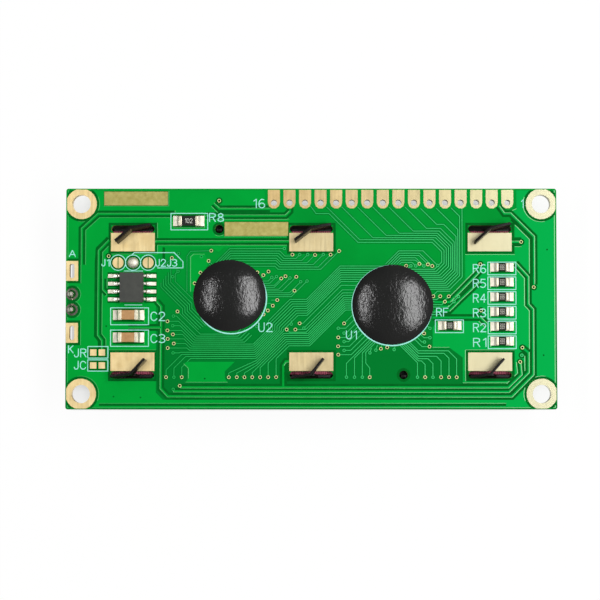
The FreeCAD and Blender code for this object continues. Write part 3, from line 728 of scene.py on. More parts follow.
@dataclass
class Plan:
    """The artwork of the component side, laid out group by group as a board designer routes it.

    Every number here is a place in the photograph; the layers come out in millimetres. lower_row is the
    line of the lowest vias.
    """

    photo: PhotoFrame = PhotoFrame()
    lower_row: float = 377.7
    fine: list[Outline] = field(default_factory=list)
    broad: list[Outline] = field(default_factory=list)
    slits: list[Outline] = field(default_factory=list)
    islands: list[Outline] = field(default_factory=list)
    bare_middle: Outline = field(default_factory=list)
    open_vias: Outline = field(default_factory=list)
    covered_vias: Outline = field(default_factory=list)
    flecks: Outline = field(default_factory=list)

    def __post_init__(self) -> None:
        """Lay the whole board out."""
        for lay_out in (
                self.pour_and_islands, self.supply_tracks, self.over_left_blob, self.right_of_left_blob,
                self.left_of_left_blob, self.bus_between_blobs, self.under_bus, self.over_right_blob,
                self.from_interface_row, self.left_of_right_blob, self.under_right_blob,
                self.right_of_right_blob, self.lone_vias):
            lay_out()

    def place(self, layer: list[Outline], *routes: Sequence[Point]) -> None:
        """Add routes or outlines, given by their points in the photograph, to a layer."""
        layer.extend([self.photo.mm(p) for p in route] for route in routes)

    def track(self, *points: Point, covered: bool | None = None) -> None:
        """Add a fine track, and a via at its first point unless covered is None.

        Args:
            *points: Its points in the photograph.
            covered: Whether the mask covers the via.
        """
        self.place(self.fine, points)
        if covered is not None:
            self.drill(points[0], covered=covered)

    def tracks(self, rows: Sequence[tuple]) -> None:
        """Add several tracks, each row with its word on the via first and its points after that."""
        for covered, *points in rows:
            self.track(*points, covered=covered)

    def drill(self, *points: Point, covered: bool = False) -> None:
        """Add vias.

        Args:
            *points: Their places in the photograph.
            covered: Whether the mask covers them.
        """
        (self.covered_vias if covered else self.open_vias).extend(self.photo.mm(p) for p in points)

    def pour_and_islands(self) -> None:
        """The bare middle that the all-round pour leaves, and the copper islands in it."""
        bare_middle = (
            (265, 188), (516, 188), (516, 208.5), (508, 212), (514.8, 223), (514.3, 230), (514.3, 254.6),
            (464.8, 254.6), (464.8, 281), (440, 306), (438, 320), (432, 328), (432, 348), (448.6, 348),
            (462, 358), (462, 383.5), (506, 383.5), (506, 400.2), (163.5, 400.2), (156.5, 393), (156.5, 264),
            (158, 255.5), (166, 247.5), (289, 247.5), (289, 219), (265, 219))
        under_left_blob = (
            (187, 362.3), (235, 362.3), (225, 372), (225.3, 379), (228, 382.9), (186, 382.9), (188.5, 379),
            (188.5, 369), (184, 364.5))
        beside_left_blob = (
            (190.5, 257), (193.5, 254.3), (205, 254.3), (209, 262), (205, 272), (197, 283), (195, 292),
            (190.5, 292))
        over_left_blob = ((211.4, 247.4), (223.9, 247.4), (218.6, 252.4))
        self.bare_middle = [self.photo.mm(p) for p in bare_middle]
        self.place(self.islands, under_left_blob, beside_left_blob, over_left_blob)

    def supply_tracks(self) -> None:
        """Wide tracks round both ends and along the lower edge, and slits in the pour."""
        left_end = (
            ((82.3, 265), (82.3, 228.8), (98.4, 214), (175, 214)),
            ((109.5, 240.4), (99.3, 251), (98.8, 335.5), (102.9, 341), (102.9, 350)),
            ((103.75, 279), (103.75, 290), (108, 294)))
        upper_left = (
            ((155.6, 241.7), (289, 241.7)), ((213.8, 203.5), (219.5, 208.9), (270, 208.9)),
            ((290, 206), (290, 211.3), (285.5, 215.8), (206, 215.8)))
        lower_edge = (
            ((157, 301.6), (161.8, 307), (161.3, 389), (168.5, 396.7), (510.8, 396.9), (532.3, 375),
             (532.3, 309.8), (527.6, 304.7), (527.6, 277.2), (515, 263.3)),
            ((128.8, 327.9), (161.3, 327.9)),
            ((521.5, 348.1), (527.6, 353.1), (527.6, 372.9), (507.9, 392.3), (173.8, 391.8)),
            ((519.2, 362.4), (520.5, 375), (507.4, 387.8), (181, 387.8)),
            ((289, 361.9), (286, 361.9), (283.3, 366), (283.3, 388)))
        right_end = (
            ((498.6, 206), (504, 213.6), (510.3, 213.6), (533.5, 236.8), (533.5, 285)),
            ((511, 242.1), (520.7, 242.1)),
            ((480, 271), (461.5, 290), (449, 302.5), (434, 302.5)),
            ((480, 281), (461.5, 298.5), (449, 311), (434, 311)),
            ((432, 318), (479.7, 318), (486.5, 324.5)))
        slits = (
            ((108.2, 237.7), (97.5, 248.4), (96.4, 262), (96, 336.5), (99.8, 341.5), (99.8, 349)),
            ((100, 405.2), (505, 405.2)), ((530.4, 276.5), (530.4, 238.8), (511, 219.4)),
            ((164, 247.5), (164, 262)), ((514, 238.7), (521, 238.7)), ((514, 245.5), (521, 245.5)))
        self.place(self.broad, *left_end, *upper_left, *lower_edge, *right_end)
        self.place(self.slits, *slits)

    def over_left_blob(self) -> None:
        """Eight tracks that rise from the left blob, run right together and end at a row of vias."""
        top, foot, left, row = 248.8, 265, 230, 254.9
        highest = ((284.4, top), (left, top), (214, foot))
        self.track(*highest, covered=True)
        runs = (
            (251.3, 285, 256.3, 291, 292.4, row), (253.6, 283.8, 258.7, 296, 299.8, row),
            (256, 282.4, 260.9, 301.7, 307.7, row), (258.5, 281, 263.1, 307, 315, 255.2),
            (260.9, 280.2, 264.9, 313.2, 323.2, row), (264, 279.3, 267.3, 318.1, 330.5, row),
            (266.6, 278, 269.6, 320.7, 339, 251.3))
        for k, (level, dip_x, dip_y, rise_x, via_x, via_y) in enumerate(runs, 1):
            x = left + 0.25 * k
            self.track(
                (via_x, via_y), (rise_x, dip_y), (dip_x, dip_y), (dip_x - (dip_y - level), level),
                (x, level), (x - (foot - level), foot), covered=k in (2, 3, 5))

    def right_of_left_blob(self) -> None:
        """A fan of tracks from the left blob's right-hand side, each to a via of its own."""
        opened = (
            (257.4, 272.7, 276), (263.4, 275.5, 279), (268.6, 271.9, 277.8), (281.3, 278.8, 285.7),
            (285.5, 276.6, 287.7), (296.3, 277.2, 291.3), (294.5, 291.1, 295.2))
        hidden = (
            (271.9, 277.7, 281.4), (276.6, 276.9, 283.7), (290, 278.3, 289.6), (300.7, 282.1, 293.2),
            (307, 281.4, 297.1))
        end_x, short_run = 258, 6
        for fan, covered in ((opened, False), (hidden, True)):
            for x, y, level in fan:
                self.track((x, y), (x - (level - y), level), (end_x, level), covered=covered)
        short = ((277.3, 300.5, 0), (272.9, 306.1, 2.4), (267.9, 311, 4.4), (263.7, 314.8, 4.2))
        for x, y, bend in short:
            self.track((x, y), (x - bend, y - bend), (x - bend - short_run, y - bend), covered=False)
        lone_via = (257, 327)
        self.drill(lone_via, covered=True)

    def left_of_left_blob(self) -> None:
        """Tracks that come down round the left blob, and the double row of vias beside them."""
        drop, slant, rise = 5, 16, 7
        for k in range(5):
            x0, top, bend, x1 = 161.3 + 2.45 * k, 283 - 3.4 * k, 287.5 - 1.2 * k, 183 + 2.3 * k
            low = bend + x1 - x0
            self.track((x0, top), (x0, bend), (x1, low), (x1, low + drop), (x1 + slant, low + drop + slant))
        short = (
            (True, (178.3, 271.6), (175.5, 274.5), (175.5, 282), (193, 299.5)),
            (None, (187.2, 292), (187.2, 256.4), (190.8, 251.5), (211, 251)),
            (False, (208.8, 261.2), (214, 266)), (True, (201.6, 256.9), (206, 261.3), (211, 266)),
            (False, (200.7, 273), (204, 276)), (False, (172.1, 258.2), (166, 264.4), (161.3, 269)),
            (True, (173, 277), (173, 279)))
        self.tracks(short)
        opened, hidden = ((109.1, 256.4), (211.4, 250.9), (194.9, 283.7)), (178.8, 253.8)
        self.drill(*opened)
        self.drill(hidden, covered=True)
        column = ((177.9, 311.9, 177.9), (173.8, 316.5, 177), (167.9, 321.7, 179), (173.2, 326.2, 180.5),
                  (167.9, 330.9, 182))
        for k, (x, y, turn) in enumerate(column):
            level = 334.6 + 2 * k
            end = 236 + 2.2 * k
            self.track(
                (x, y), (turn, y), (turn + level - y, level), (end, level), (end + rise, level - rise),
                covered=k % 2 == 1)

    def bus_between_blobs(self) -> None:
        """The bus: parallel tracks from under the left blob up to the right blob's left side."""
        starts = (
            ((173.4, 334.9), (183, 334.9), (192.7, 344.6)), ((168.2, 339.4), (184.5, 339.4), (191.7, 346.6)),
            ((174.3, 344), (186, 344), (190.6, 348.6)), ((168.2, 348.5), (187.5, 348.5), (189.7, 350.7)),
            ((173.6, 353.4), (180, 353.4), (180.6, 352.8)), ((166.7, 377.7), (166.7, 370.4), (182.2, 354.9)),
            ((174.5, 377.7), (174.5, 368.6), (186.1, 357)), ((182.3, 377.7), (182.3, 367.7), (191, 359)))
        first = (
            (388, 266.3), (340, 266.3), (306.5, 299.8), (290, 299.8), (268.5, 321.3), (268.5, 329.6),
            (253.5, 344.6))
        last = (
            (358, 281.9), (341, 281.9), (307, 315.9), (298, 315.9), (283.5, 330.4), (283.5, 331.5),
            (256, 359))
        for k, start in enumerate(starts):
            share = k / (len(starts) - 1)
            along = [tuple(Vector(a).lerp(Vector(b), share)) for a, b in zip(first, last)]
            level = start[-1][1]
            knee, foot = along[-2][0], along[-1][0]
            along[-2:] = [(knee, level - (knee - foot)), (foot, level)]
            self.track(*start, *along[::-1], covered=k in (4, 6))

    def under_bus(self) -> None:
        """Seven tracks from the lower row of vias up into the bus, and the short ones beside it."""
        feet = (
            (276.2, 635.4), (268.3, 631.8), (260.3, 628.6), (252.5, 625.6), (244.7, 622.7), (237.1, 620.1),
            (229.1, 617.6))
        jog, rise, end_x = 373.5, 35.8, 358
        for k, (x, total) in enumerate(feet):
            level = 346.3 - 2.05 * k
            right = 309.6 - 0.3 * k
            bend = [(x, total - x)]
            if k > 3:
                shoulder = 365.7 - 2.35 * (k - 4)
                bend = [(x, jog), (total - shoulder, shoulder)]
            self.track(
                (x, self.lower_row), *bend, (total - level, level), (right, level),
                (right + rise, level - rise), (end_x, level - rise), covered=False)
        beside = (
            (False, (299.6, 323.8), (302.9, 323.8), (341, 285.7), (356, 285.7)),
            (True, (303.8, 328.6), (342.1, 290.3), (354, 290.3)),
            (False, (295.4, 330), (305.8, 330), (342.5, 293.3), (353, 293.3)),
            (False, (286.7, 330), (289.4, 332.7), (306, 332.7), (343, 295.7), (353, 295.7)),
            (True, (291.3, 324.6), (291.3, 321)))
        self.tracks(beside)

    def over_right_blob(self) -> None:
        """Six nested arches over the right blob."""
        ends = (
            (437.4, 265.8), (431.9, 266.3), (427.6, 264.7), (423.6, 266.3), (419.1, 264.2), (415.5, 266.3))
        foot = 264.5
        for k, (x, y) in enumerate(ends):
            level = 251.1 + 2.32 * k
            left = 398.6 + 0.5 * k
            self.track(
                (x, y), (x - (y - level), level), (left, level), (left - (foot - level), foot),
                covered=k in (0, 3, 5))
        short, lone_via = ((410.6, 266.1), (407, 269.5)), (405.9, 266.1)
        self.track(*short, covered=True)
        self.drill(lone_via)

    def from_interface_row(self) -> None:
        """Eleven tracks from the interface row, side by side down the right blob's right and under it."""
        columns = (441.4, 443.7, 445.9, 448.1, 450.4, 452.1, 453.9, 455.7, 457.5, 459.3, 461.8)
        heads = (
            ((310.5, 206), (316, 213.6), (328.9, 213.6), (357.9, 242.6), (432, 242.6), (441.4, 252)),
            ((326.7, 207), (359.5, 239.8), (432.9, 239.8), (443.7, 250.6)),
            ((341.9, 207), (372.8, 237.9), (435.4, 237.9), (445.9, 248.4)),
            ((357.5, 207), (386.1, 235.6), (436.2, 235.6), (448.1, 247.5)),
            ((372.7, 207), (399.1, 233.4), (437.2, 233.4), (450.4, 246.6)),
            ((388.8, 207), (413, 231.2), (438.9, 231.2), (452.1, 244.4)),
            ((404.8, 207), (426.3, 228.5), (440.3, 228.5), (453.9, 242.1)),
            ((420.4, 208.4), (436.5, 224.5), (443.6, 224.5), (455.7, 236.6)),
            ((436.1, 208.2), (457.5, 229.6)), ((450.8, 207.8), (459.3, 216.3)), ((461.8, 206), (461.8, 216)))
        blob_x, blob_y, blob_radius, under_rim = 392, 306.8, 40.4, 3
        for k, (x, head) in enumerate(zip(columns, heads)):
            foot, level = 262.3 + 1.5 * k, 269.6 + 2 * k
            rim = blob_x - under_rim + math.sqrt(blob_radius ** 2 - (level - blob_y) ** 2)
            self.track(*head, (x, foot), (x - (level - foot), level), (rim, level))

    def left_of_right_blob(self) -> None:
        """Eight tracks that slant down from the right blob to a double row of vias, and four below."""
        rows = (
            (343.9, 323.9, 343.9, 667.8), (338.1, 328.7, 345.5, 674.2), (343.9, 333.6, 346, 679.6),
            (338.1, 337.9, 347, 684.9), (343.9, 342.1, 348.5, 690.6), (337.9, 346.8, 349.3, 696.1),
            (343.9, 350.9, 350.4, 701.3), (338.1, 355.2, 351, 706.2))
        first_end, closing = 355, 0.42
        for k, (x, y, turn, total) in enumerate(rows):
            end = first_end + (total - rows[0][-1]) * closing
            bend = [(turn, y)] if turn > x else []
            self.track((x, y), *bend, (end, total - end), covered=k not in (0, 3, 5, 7))
        row = self.lower_row
        for x, knee, end in ((346.2, 363.9, 369.3), (354.2, 358.5, 371.5), (362, 353.6, 374)):
            self.track((x, row), (x, knee), (end, knee - (end - x)), covered=True)
        last = ((369.4, row), (369.4, 368.6), (365.5, 363.7), (365.5, 352.8), (375, 343.3))
        self.track(*last, covered=False)

    def under_right_blob(self) -> None:
        """The vias along the right blob's lower rim, and six tracks from it to the row of vias."""
        rim = ((369.6, 353.4), (375.5, 350.7), (380.5, 349.2), (386.8, 347.9), (393.7, 350))
        lean, rise = 1.5, 5
        for k, (x, y) in enumerate(rim):
            self.track((x, y), (x + lean, y - rise), covered=k not in (2, 3))
        row, shelf = self.lower_row, 417.8
        leftmost = ((416.9, row), (416.9, 363.2), (397, 343.3))
        self.track(*leftmost, covered=True)
        nested = (
            (424.5, 365, 361.4, 399, 343.1), (432.3, 364.1, 359.2, 401, 342.4),
            (440.4, 361.4, 356.8, 403, 342), (448.3, 358.8, 353.8, 405, 341),
            (455.9, 359.5, 351.3, 407, 340.5))
        for k, (x, knee, level, end_x, end_y) in enumerate(nested):
            self.track(
                (x, row), (x, knee), (x - (knee - level), level), (shelf, level), (end_x, end_y),
                covered=k == 1)

    def right_of_right_blob(self) -> None:
        """Short tracks from the right blob's lower right and right to two groups of vias."""
        lower = ((429.4, 328.8, 429.4, 422), (423.6, 333.9, 423.6, 417), (429.4, 338.2, 423.4, 414.5),
                 (424, 342.5, 421.3, 410), (428.9, 347.1, 421.5, 407))
        for k, (x, y, bend, end) in enumerate(lower):
            corner = [(bend, y)] if bend < x else []
            self.track((x, y), *corner, (end, y - (bend - end)), covered=k not in (1, 4))
        rim = 429
        upper = ((439.8, 296.7, 300), (448.4, 296.7, 302.1), (444.4, 302.1, 305.1), (453.5, 302, 307.5))
        for k, (x, y, level) in enumerate(upper):
            self.track((x, y), (x - (level - y), level), (rim, level), covered=k == 3)
        single = (
            (False, (432.9, 296.7), (428, 296.7)), (True, (458, 297), (453, 302)),
            (None, (447, 312.5), (rim, 312.5)), (None, (441, 315), (rim, 315)),
            (None, (449.9, 291.6), (437, 291.6), (432, 296.6)))
        self.tracks(single)

    def lone_vias(self) -> None:
        """Single vias in the pour, and flecks in the mask."""
        opened = (
            (219.2, 200.7), (479.9, 264.5), (480.5, 310.9), (520.7, 242.1), (533.1, 287.5), (521.5, 348.1),
            (519.2, 362.4), (180.3, 386.3))
        hidden = ((520.9, 355.7), (173.8, 389.8))
        self.drill(*opened)
        self.drill(*hidden, covered=True)
        flecks = (
            (106.9, 326.6), (114.5, 397.1), (141.3, 398), (205.2, 379.1), (546.6, 249.8), (542.6, 355.7))
        self.flecks = [self.photo.mm(p) for p in flecks]


@dataclass
class BoardShape:
    """The board's outline and what goes through it or stands on it, for the films to keep clear of."""

    half: Point = (40.0, 18.0)
    corner_hole: Point = (37.5, 15.5)
    corner_hole_radius: float = 1.52
    corner_ring_radius: float = 2.5
    corner_sides: int = 32
    tab_columns: tuple[float, ...] = (-29.1, 0.0, 29.1)
    slot_rows: Point = (11.4, -12.4)
    slot_half: Point = (3.56, 0.61)
    ground_pad_half: float = 3.575
    ground_pad_reach: float = 3.65  # from its slot's middle
    pin_x: float = -39.0
    pin_rows: Point = (0.77, -1.77)
    pin_pad_radius: float = 1.0
    wire_rows: Point = (4.55, -5.55)
    wire_slot_half: Point = (0.4, 1.2)
    wire_pad_length: float = 2.0
    wire_pad_half: float = 1.62
    prongs: tuple[Point, ...] = ((-15.0, 11.4), (15.0, -12.4))
    prong_radius: float = 0.72
    pad_sides: int = 20
    header_first: Point = (32.0, 15.7)
    header_pitch: float = 2.54
    header_count: int = 16
    header_radius: float = 0.55
    header_sides: int = 16
    gold_field: Point = (10.36, 2.24)
    close_margin: float = 0.1  # round what the wide copper comes close to
    land_past_cap: float = 0.8
    long_land_past_cap: float = 0.9  # on the large resistor and the capacitors
    link_side: float = 1.04
    lead_count: int = 4
    lead_half: float = 0.2
    lead_land_half: Point = (1.0, 0.3)

    def outline(self, inset: float) -> Outline:
        """The board's edge, moved inwards."""
        x, y = self.half[0] - inset, self.half[1] - inset
        return rectangle(-x, x, -y, y)

    def corners(self, radius: float) -> list[Outline]:
        """A disc round each mounting hole."""
        x, y = self.corner_hole
        return [disc(sx * x, sy * y, radius, self.corner_sides) for sx in (-1, 1) for sy in (-1, 1)]

    def slots(self, margin: float) -> list[Outline]:
        """A rectangle round each tab slot."""
        a, b = self.slot_half[0] + margin, self.slot_half[1] + margin
        return [rectangle(x - a, x + a, y - b, y + b) for x in self.tab_columns for y in self.slot_rows]

    def openings(self) -> list[Outline]:
        """Every hole of the board.

        Returns:
            The outlines.
        """
        x, y = self.header_first
        a, b = self.wire_slot_half
        holes = self.corners(self.corner_hole_radius) + self.slots(0)
        holes += [disc(*prong, self.prong_radius, self.pad_sides) for prong in self.prongs]
        row = [x - i * self.header_pitch for i in range(self.header_count)]
        holes += [disc(hole, y, self.header_radius, self.header_sides) for hole in row]
        holes += [rectangle(self.pin_x - a, self.pin_x + a, y - b, y + b) for y in self.wire_rows]
        return holes

    def clearances(self, gap: float) -> list[Outline]:
        """What the wide copper keeps clear of: rings, pads, lands and drilled holes.

        Args:
            gap: The mask's gap round each.

        Returns:
            The outlines.
        """
        shapes = self.corners(self.corner_ring_radius + gap) + self.slots(gap)
        half = self.ground_pad_half + gap
        for x in self.tab_columns:
            for row, side in zip(self.slot_rows, (-1, 1)):
                near, far = sorted((row, row + side * (self.ground_pad_reach + gap)))
                shapes.append(rectangle(x - half, x + half, near, far))
        edge, half = -self.half[0], self.wire_pad_half + gap
        shapes += [
            rectangle(edge, edge + self.wire_pad_length + gap, y - half, y + half) for y in self.wire_rows]
        pads = [(self.pin_x, y, self.pin_pad_radius) for y in self.pin_rows]
        pads += [(*prong, self.prong_radius) for prong in self.prongs]
        shapes += [disc(x, y, radius + gap, self.pad_sides) for x, y, radius in pads]
        low, high = box_mm("marking_fields")
        margin = self.close_margin
        length, width = (size + margin for size in self.gold_field)
        shapes.append(rectangle(low.x - margin, low.x + length, high.y - width, high.y + margin))
        shapes.append(rectangle(high.x - length, high.x + margin, low.y - margin, low.y + width))
        return shapes + self.lands(gap - margin)

    def lands(self, gap: float) -> list[Outline]:
        """A box round each soldered component, link and chip lead.

        Args:
            gap: Clearance round it.

        Returns:
            The outlines.
        """
        shapes = []
        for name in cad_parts:
            if name.endswith("_end_caps"):
                low, high = box_mm(name)
                long = "_r8" in name or "capacitor" in name
                past = self.long_land_past_cap if long else self.land_past_cap
                shapes.append(rectangle(low.x - past, high.x + past, low.y - gap, high.y + gap))
        low, high = box_mm("link_pads")
        for y in (high.y - self.link_side, low.y):
            shapes.append(rectangle(low.x - gap, high.x + gap, y - gap, y + self.link_side + gap))
        low, high = box_mm("jumper_pads")
        radius = (high.y - low.y) / 2
        for x in (low.x + radius, (low.x + high.x) / 2, high.x - radius):
            shapes.append(disc(x, low.y + radius, radius + gap, self.pad_sides))
        low, high = box_mm("converter_chip_leads")
        a, b = self.lead_land_half[0], self.lead_land_half[1] + gap
        pitch = (high.y - low.y - 2 * self.lead_half) / (self.lead_count - 1)
        for i in range(self.lead_count):
            y = low.y + self.lead_half + i * pitch
            shapes += [rectangle(x - a, x + a, y - b, y + b) for x in (low.x, high.x)]
        return shapes


@dataclass
class CopperPattern:
    """The copper under the mask: wide fields and tracks, fine tracks, and the gaps between them, darkened
    with painted shade.
    """

    plan: Plan
    shape: BoardShape
    broad_width: float = 0.33
    fine_width: float = 0.14
    # fine_gap: width of the painted shade beside each fine track
    fine_gap: float = 0.09
    gap: float = 0.4
    edge: float = 0.28
    # shoulder: width of the painted highlight strips on the copper's outward edges
    shoulder: float = 0.1
    glint_slant: float = 0.35
    thinnest_glint: float = 0.5
    unlit_above: float = 17.5
    via_clearing: float = 0.55
    fine_via_clearing: float = 0.36

    def films(self) -> list[tuple[Film, Finish]]:
        """Lay out the wide copper, the pooled mask and painted shade in its gaps, the fine tracks and the
        painted shade beside them.

        Returns:
            Each film with its finish, the wide copper first.
        """
        plan = self.plan
        edge = [self.shape.outline(self.edge)]
        openings = self.shape.openings()
        moats = [ribbon(route, self.broad_width + 2 * self.gap) for route in plan.broad]
        moats += [ribbon(route, self.gap) for route in plan.slits]
        vias = plan.open_vias + plan.covered_vias
        in_bare = [holds(plan.bare_middle, via) for via in vias]
        moats += [disc(*via, self.via_clearing) for via, bare in zip(vias, in_bare) if not bare]
        moats += self.shape.clearances(self.gap)
        beside = [ribbon(route, self.fine_width + 2 * self.fine_gap) for route in plan.fine]
        beside += [disc(*via, self.fine_via_clearing) for via, bare in zip(vias, in_bare) if bare]
        return [
            (Film("copper_fields", Layer.COPPER, edge, [plan.bare_middle] + moats,
                  [ribbon(route, self.broad_width) for route in plan.broad] + plan.islands, openings, edge),
             COPPER_MASK),
            (Film("mask_gaps", Layer.POOLED_MASK, moats, holes=openings, clip=edge), POOLED_MASK),
            (Film("fine_gaps", Layer.FINE_GAP, beside, holes=openings, clip=edge), FINE_GAP_SHADE_MASK),
            (Film("fine_tracks", Layer.FINE_COPPER, [ribbon(route, self.fine_width) for route in plan.fine]),
             TRACK_MASK)]

    def build(self) -> None:
        """Build the films, and painted highlights on the shoulders of the wide copper, where the light would
        catch them.
        """
        films = self.films()
        shoulders = films[0][0].outward_glint_strips(
            self.shape.half, self.shoulder, self.glint_slant, self.thinnest_glint)
        lit = [strip for strip in shoulders if min(y for x, y in strip) < self.unlit_above]
        strips = Film("copper_edge_glints", Layer.SHOULDER, lit, holes=self.shape.openings())
        films.insert(1, (strips, EDGE_GLINT_MASK))
        for film, finish in films:
            fit_out(film.build(), finish)


@dataclass
class Vias:
    """Plated through holes: some with open gold rings, some under the mask."""

    plan: Plan
    ring_radius: float = 0.28
    hole_radius: float = 0.19
    covered_hole_radius: float = 0.13
    fleck_radius: float = 0.14
    sides: int = 14

    def discs(self, places: Outline, radius: float) -> list[Outline]:
        """A small disc at every place."""
        return [disc(x, y, radius, self.sides) for x, y in places]

    def build(self) -> None:
        """Build the rings, the dark discs of painted shade that stand for the holes in them, and the flecks.
        """
        plan = self.plan
        for name, places, slot, ring, hole, radius in (
                ("via", plan.open_vias, "gold_plating", VIA_GOLD, DRILLED, self.hole_radius),
                ("covered_via", plan.covered_vias, "solder_mask", TRACK_MASK, POOLED_MASK,
                 self.covered_hole_radius)):
            bores = self.discs(places, radius)
            rings = Film(f"{name}_rings", Layer.RING, self.discs(places, self.ring_radius), bores)
            fit_out(rings.build(), ring)
            fit_out(Film(f"{name}_bores", Layer.DIMPLE, bores).build(), hole)
        flecks = Film("mask_flecks", Layer.DIMPLE, self.discs(plan.flecks, self.fleck_radius))
        fit_out(flecks.build(), POOLED_MASK)


# The strokes of the board's lettering, on a box one high: each letter is a list of pen routes.
LETTERS: dict[str, tuple[tuple[Point, ...], ...]] = {
    "0": (((0.3, 0), (0.1, 0.1), (0, 0.35), (0, 0.65), (0.1, 0.9), (0.3, 1), (0.5, 0.9), (0.6, 0.65),
           (0.6, 0.35), (0.5, 0.1), (0.3, 0)),),
    "1": (((0.1, 0.8), (0.35, 1), (0.35, 0)),),
    "2": (((0, 0.76), (0.1, 0.94), (0.3, 1), (0.5, 0.94), (0.6, 0.76), (0.55, 0.58), (0, 0), (0.62, 0)),),
    "3": (((0.02, 0.9), (0.25, 1), (0.5, 0.92), (0.58, 0.75), (0.48, 0.58), (0.25, 0.53)),
          ((0.25, 0.53), (0.5, 0.46), (0.62, 0.28), (0.5, 0.07), (0.25, 0), (0, 0.1))),
    "4": (((0.45, 0), (0.45, 1), (0, 0.32), (0.65, 0.32)),),
    "5": (((0.55, 1), (0.08, 1), (0.04, 0.56), (0.3, 0.62), (0.55, 0.5), (0.62, 0.3), (0.5, 0.07),
           (0.25, 0), (0, 0.1)),),
    "6": (((0.52, 0.95), (0.3, 1), (0.1, 0.85), (0, 0.5), (0.03, 0.18), (0.2, 0), (0.42, 0), (0.6, 0.15),
           (0.6, 0.38), (0.42, 0.55), (0.2, 0.55), (0.02, 0.38)),),
    "8": (((0.3, 0.54), (0.08, 0.66), (0.08, 0.88), (0.3, 1), (0.52, 0.88), (0.52, 0.66), (0.3, 0.54),
           (0.03, 0.38), (0.03, 0.12), (0.3, 0), (0.58, 0.12), (0.58, 0.38), (0.3, 0.54)),),
    "A": (((0, 0), (0.3, 1), (0.6, 0)), ((0.1, 0.33), (0.5, 0.33))),
    "C": (((0.62, 0.78), (0.5, 0.94), (0.3, 1), (0.12, 0.92), (0, 0.7), (0, 0.3), (0.12, 0.08), (0.3, 0),
           (0.5, 0.06), (0.62, 0.22)),),
    "F": (((0.55, 1), (0, 1), (0, 0)), ((0, 0.52), (0.42, 0.52))),
    "J": (((0.45, 1), (0.45, 0.22), (0.35, 0.04), (0.2, 0), (0.05, 0.06), (0, 0.25)),),
    "K": (((0, 1), (0, 0)), ((0.55, 1), (0, 0.4)), ((0.18, 0.56), (0.58, 0))),
    "R": (((0, 0), (0, 1), (0.38, 1), (0.58, 0.9), (0.58, 0.62), (0.38, 0.52), (0, 0.52)),
          ((0.32, 0.52), (0.6, 0))),
    "U": (((0, 1), (0, 0.25), (0.12, 0.05), (0.3, 0), (0.48, 0.05), (0.6, 0.25), (0.6, 1)),),
}


@dataclass(frozen=True)
class Label:
    """A few letters that fill a box, given by its left, right, bottom and top."""

    text: str
    left: float
    right: float
    bottom: float
    top: float
    space: float = 0.26  # between letters, as a share of their height

    def strokes(self, pen: float) -> list[Outline]:
        """Write the letters.

        Args:
            pen: The pen's width.

        Returns:
            The outlines of what the pen leaves, in millimetres.
        """
        widths = [max(p[0] for route in LETTERS[c] for p in route) for c in self.text]
        scale = (self.right - self.left) / (sum(widths) + self.space * (len(widths) - 1))
        height = self.top - self.bottom
        marks = []
        x = self.left
        for c, width in zip(self.text, widths):
            for route in LETTERS[c]:
                marks += stroke([(x + a * scale, self.bottom + b * height) for a, b in route], pen)
            x += (width + self.space) * scale
        return marks


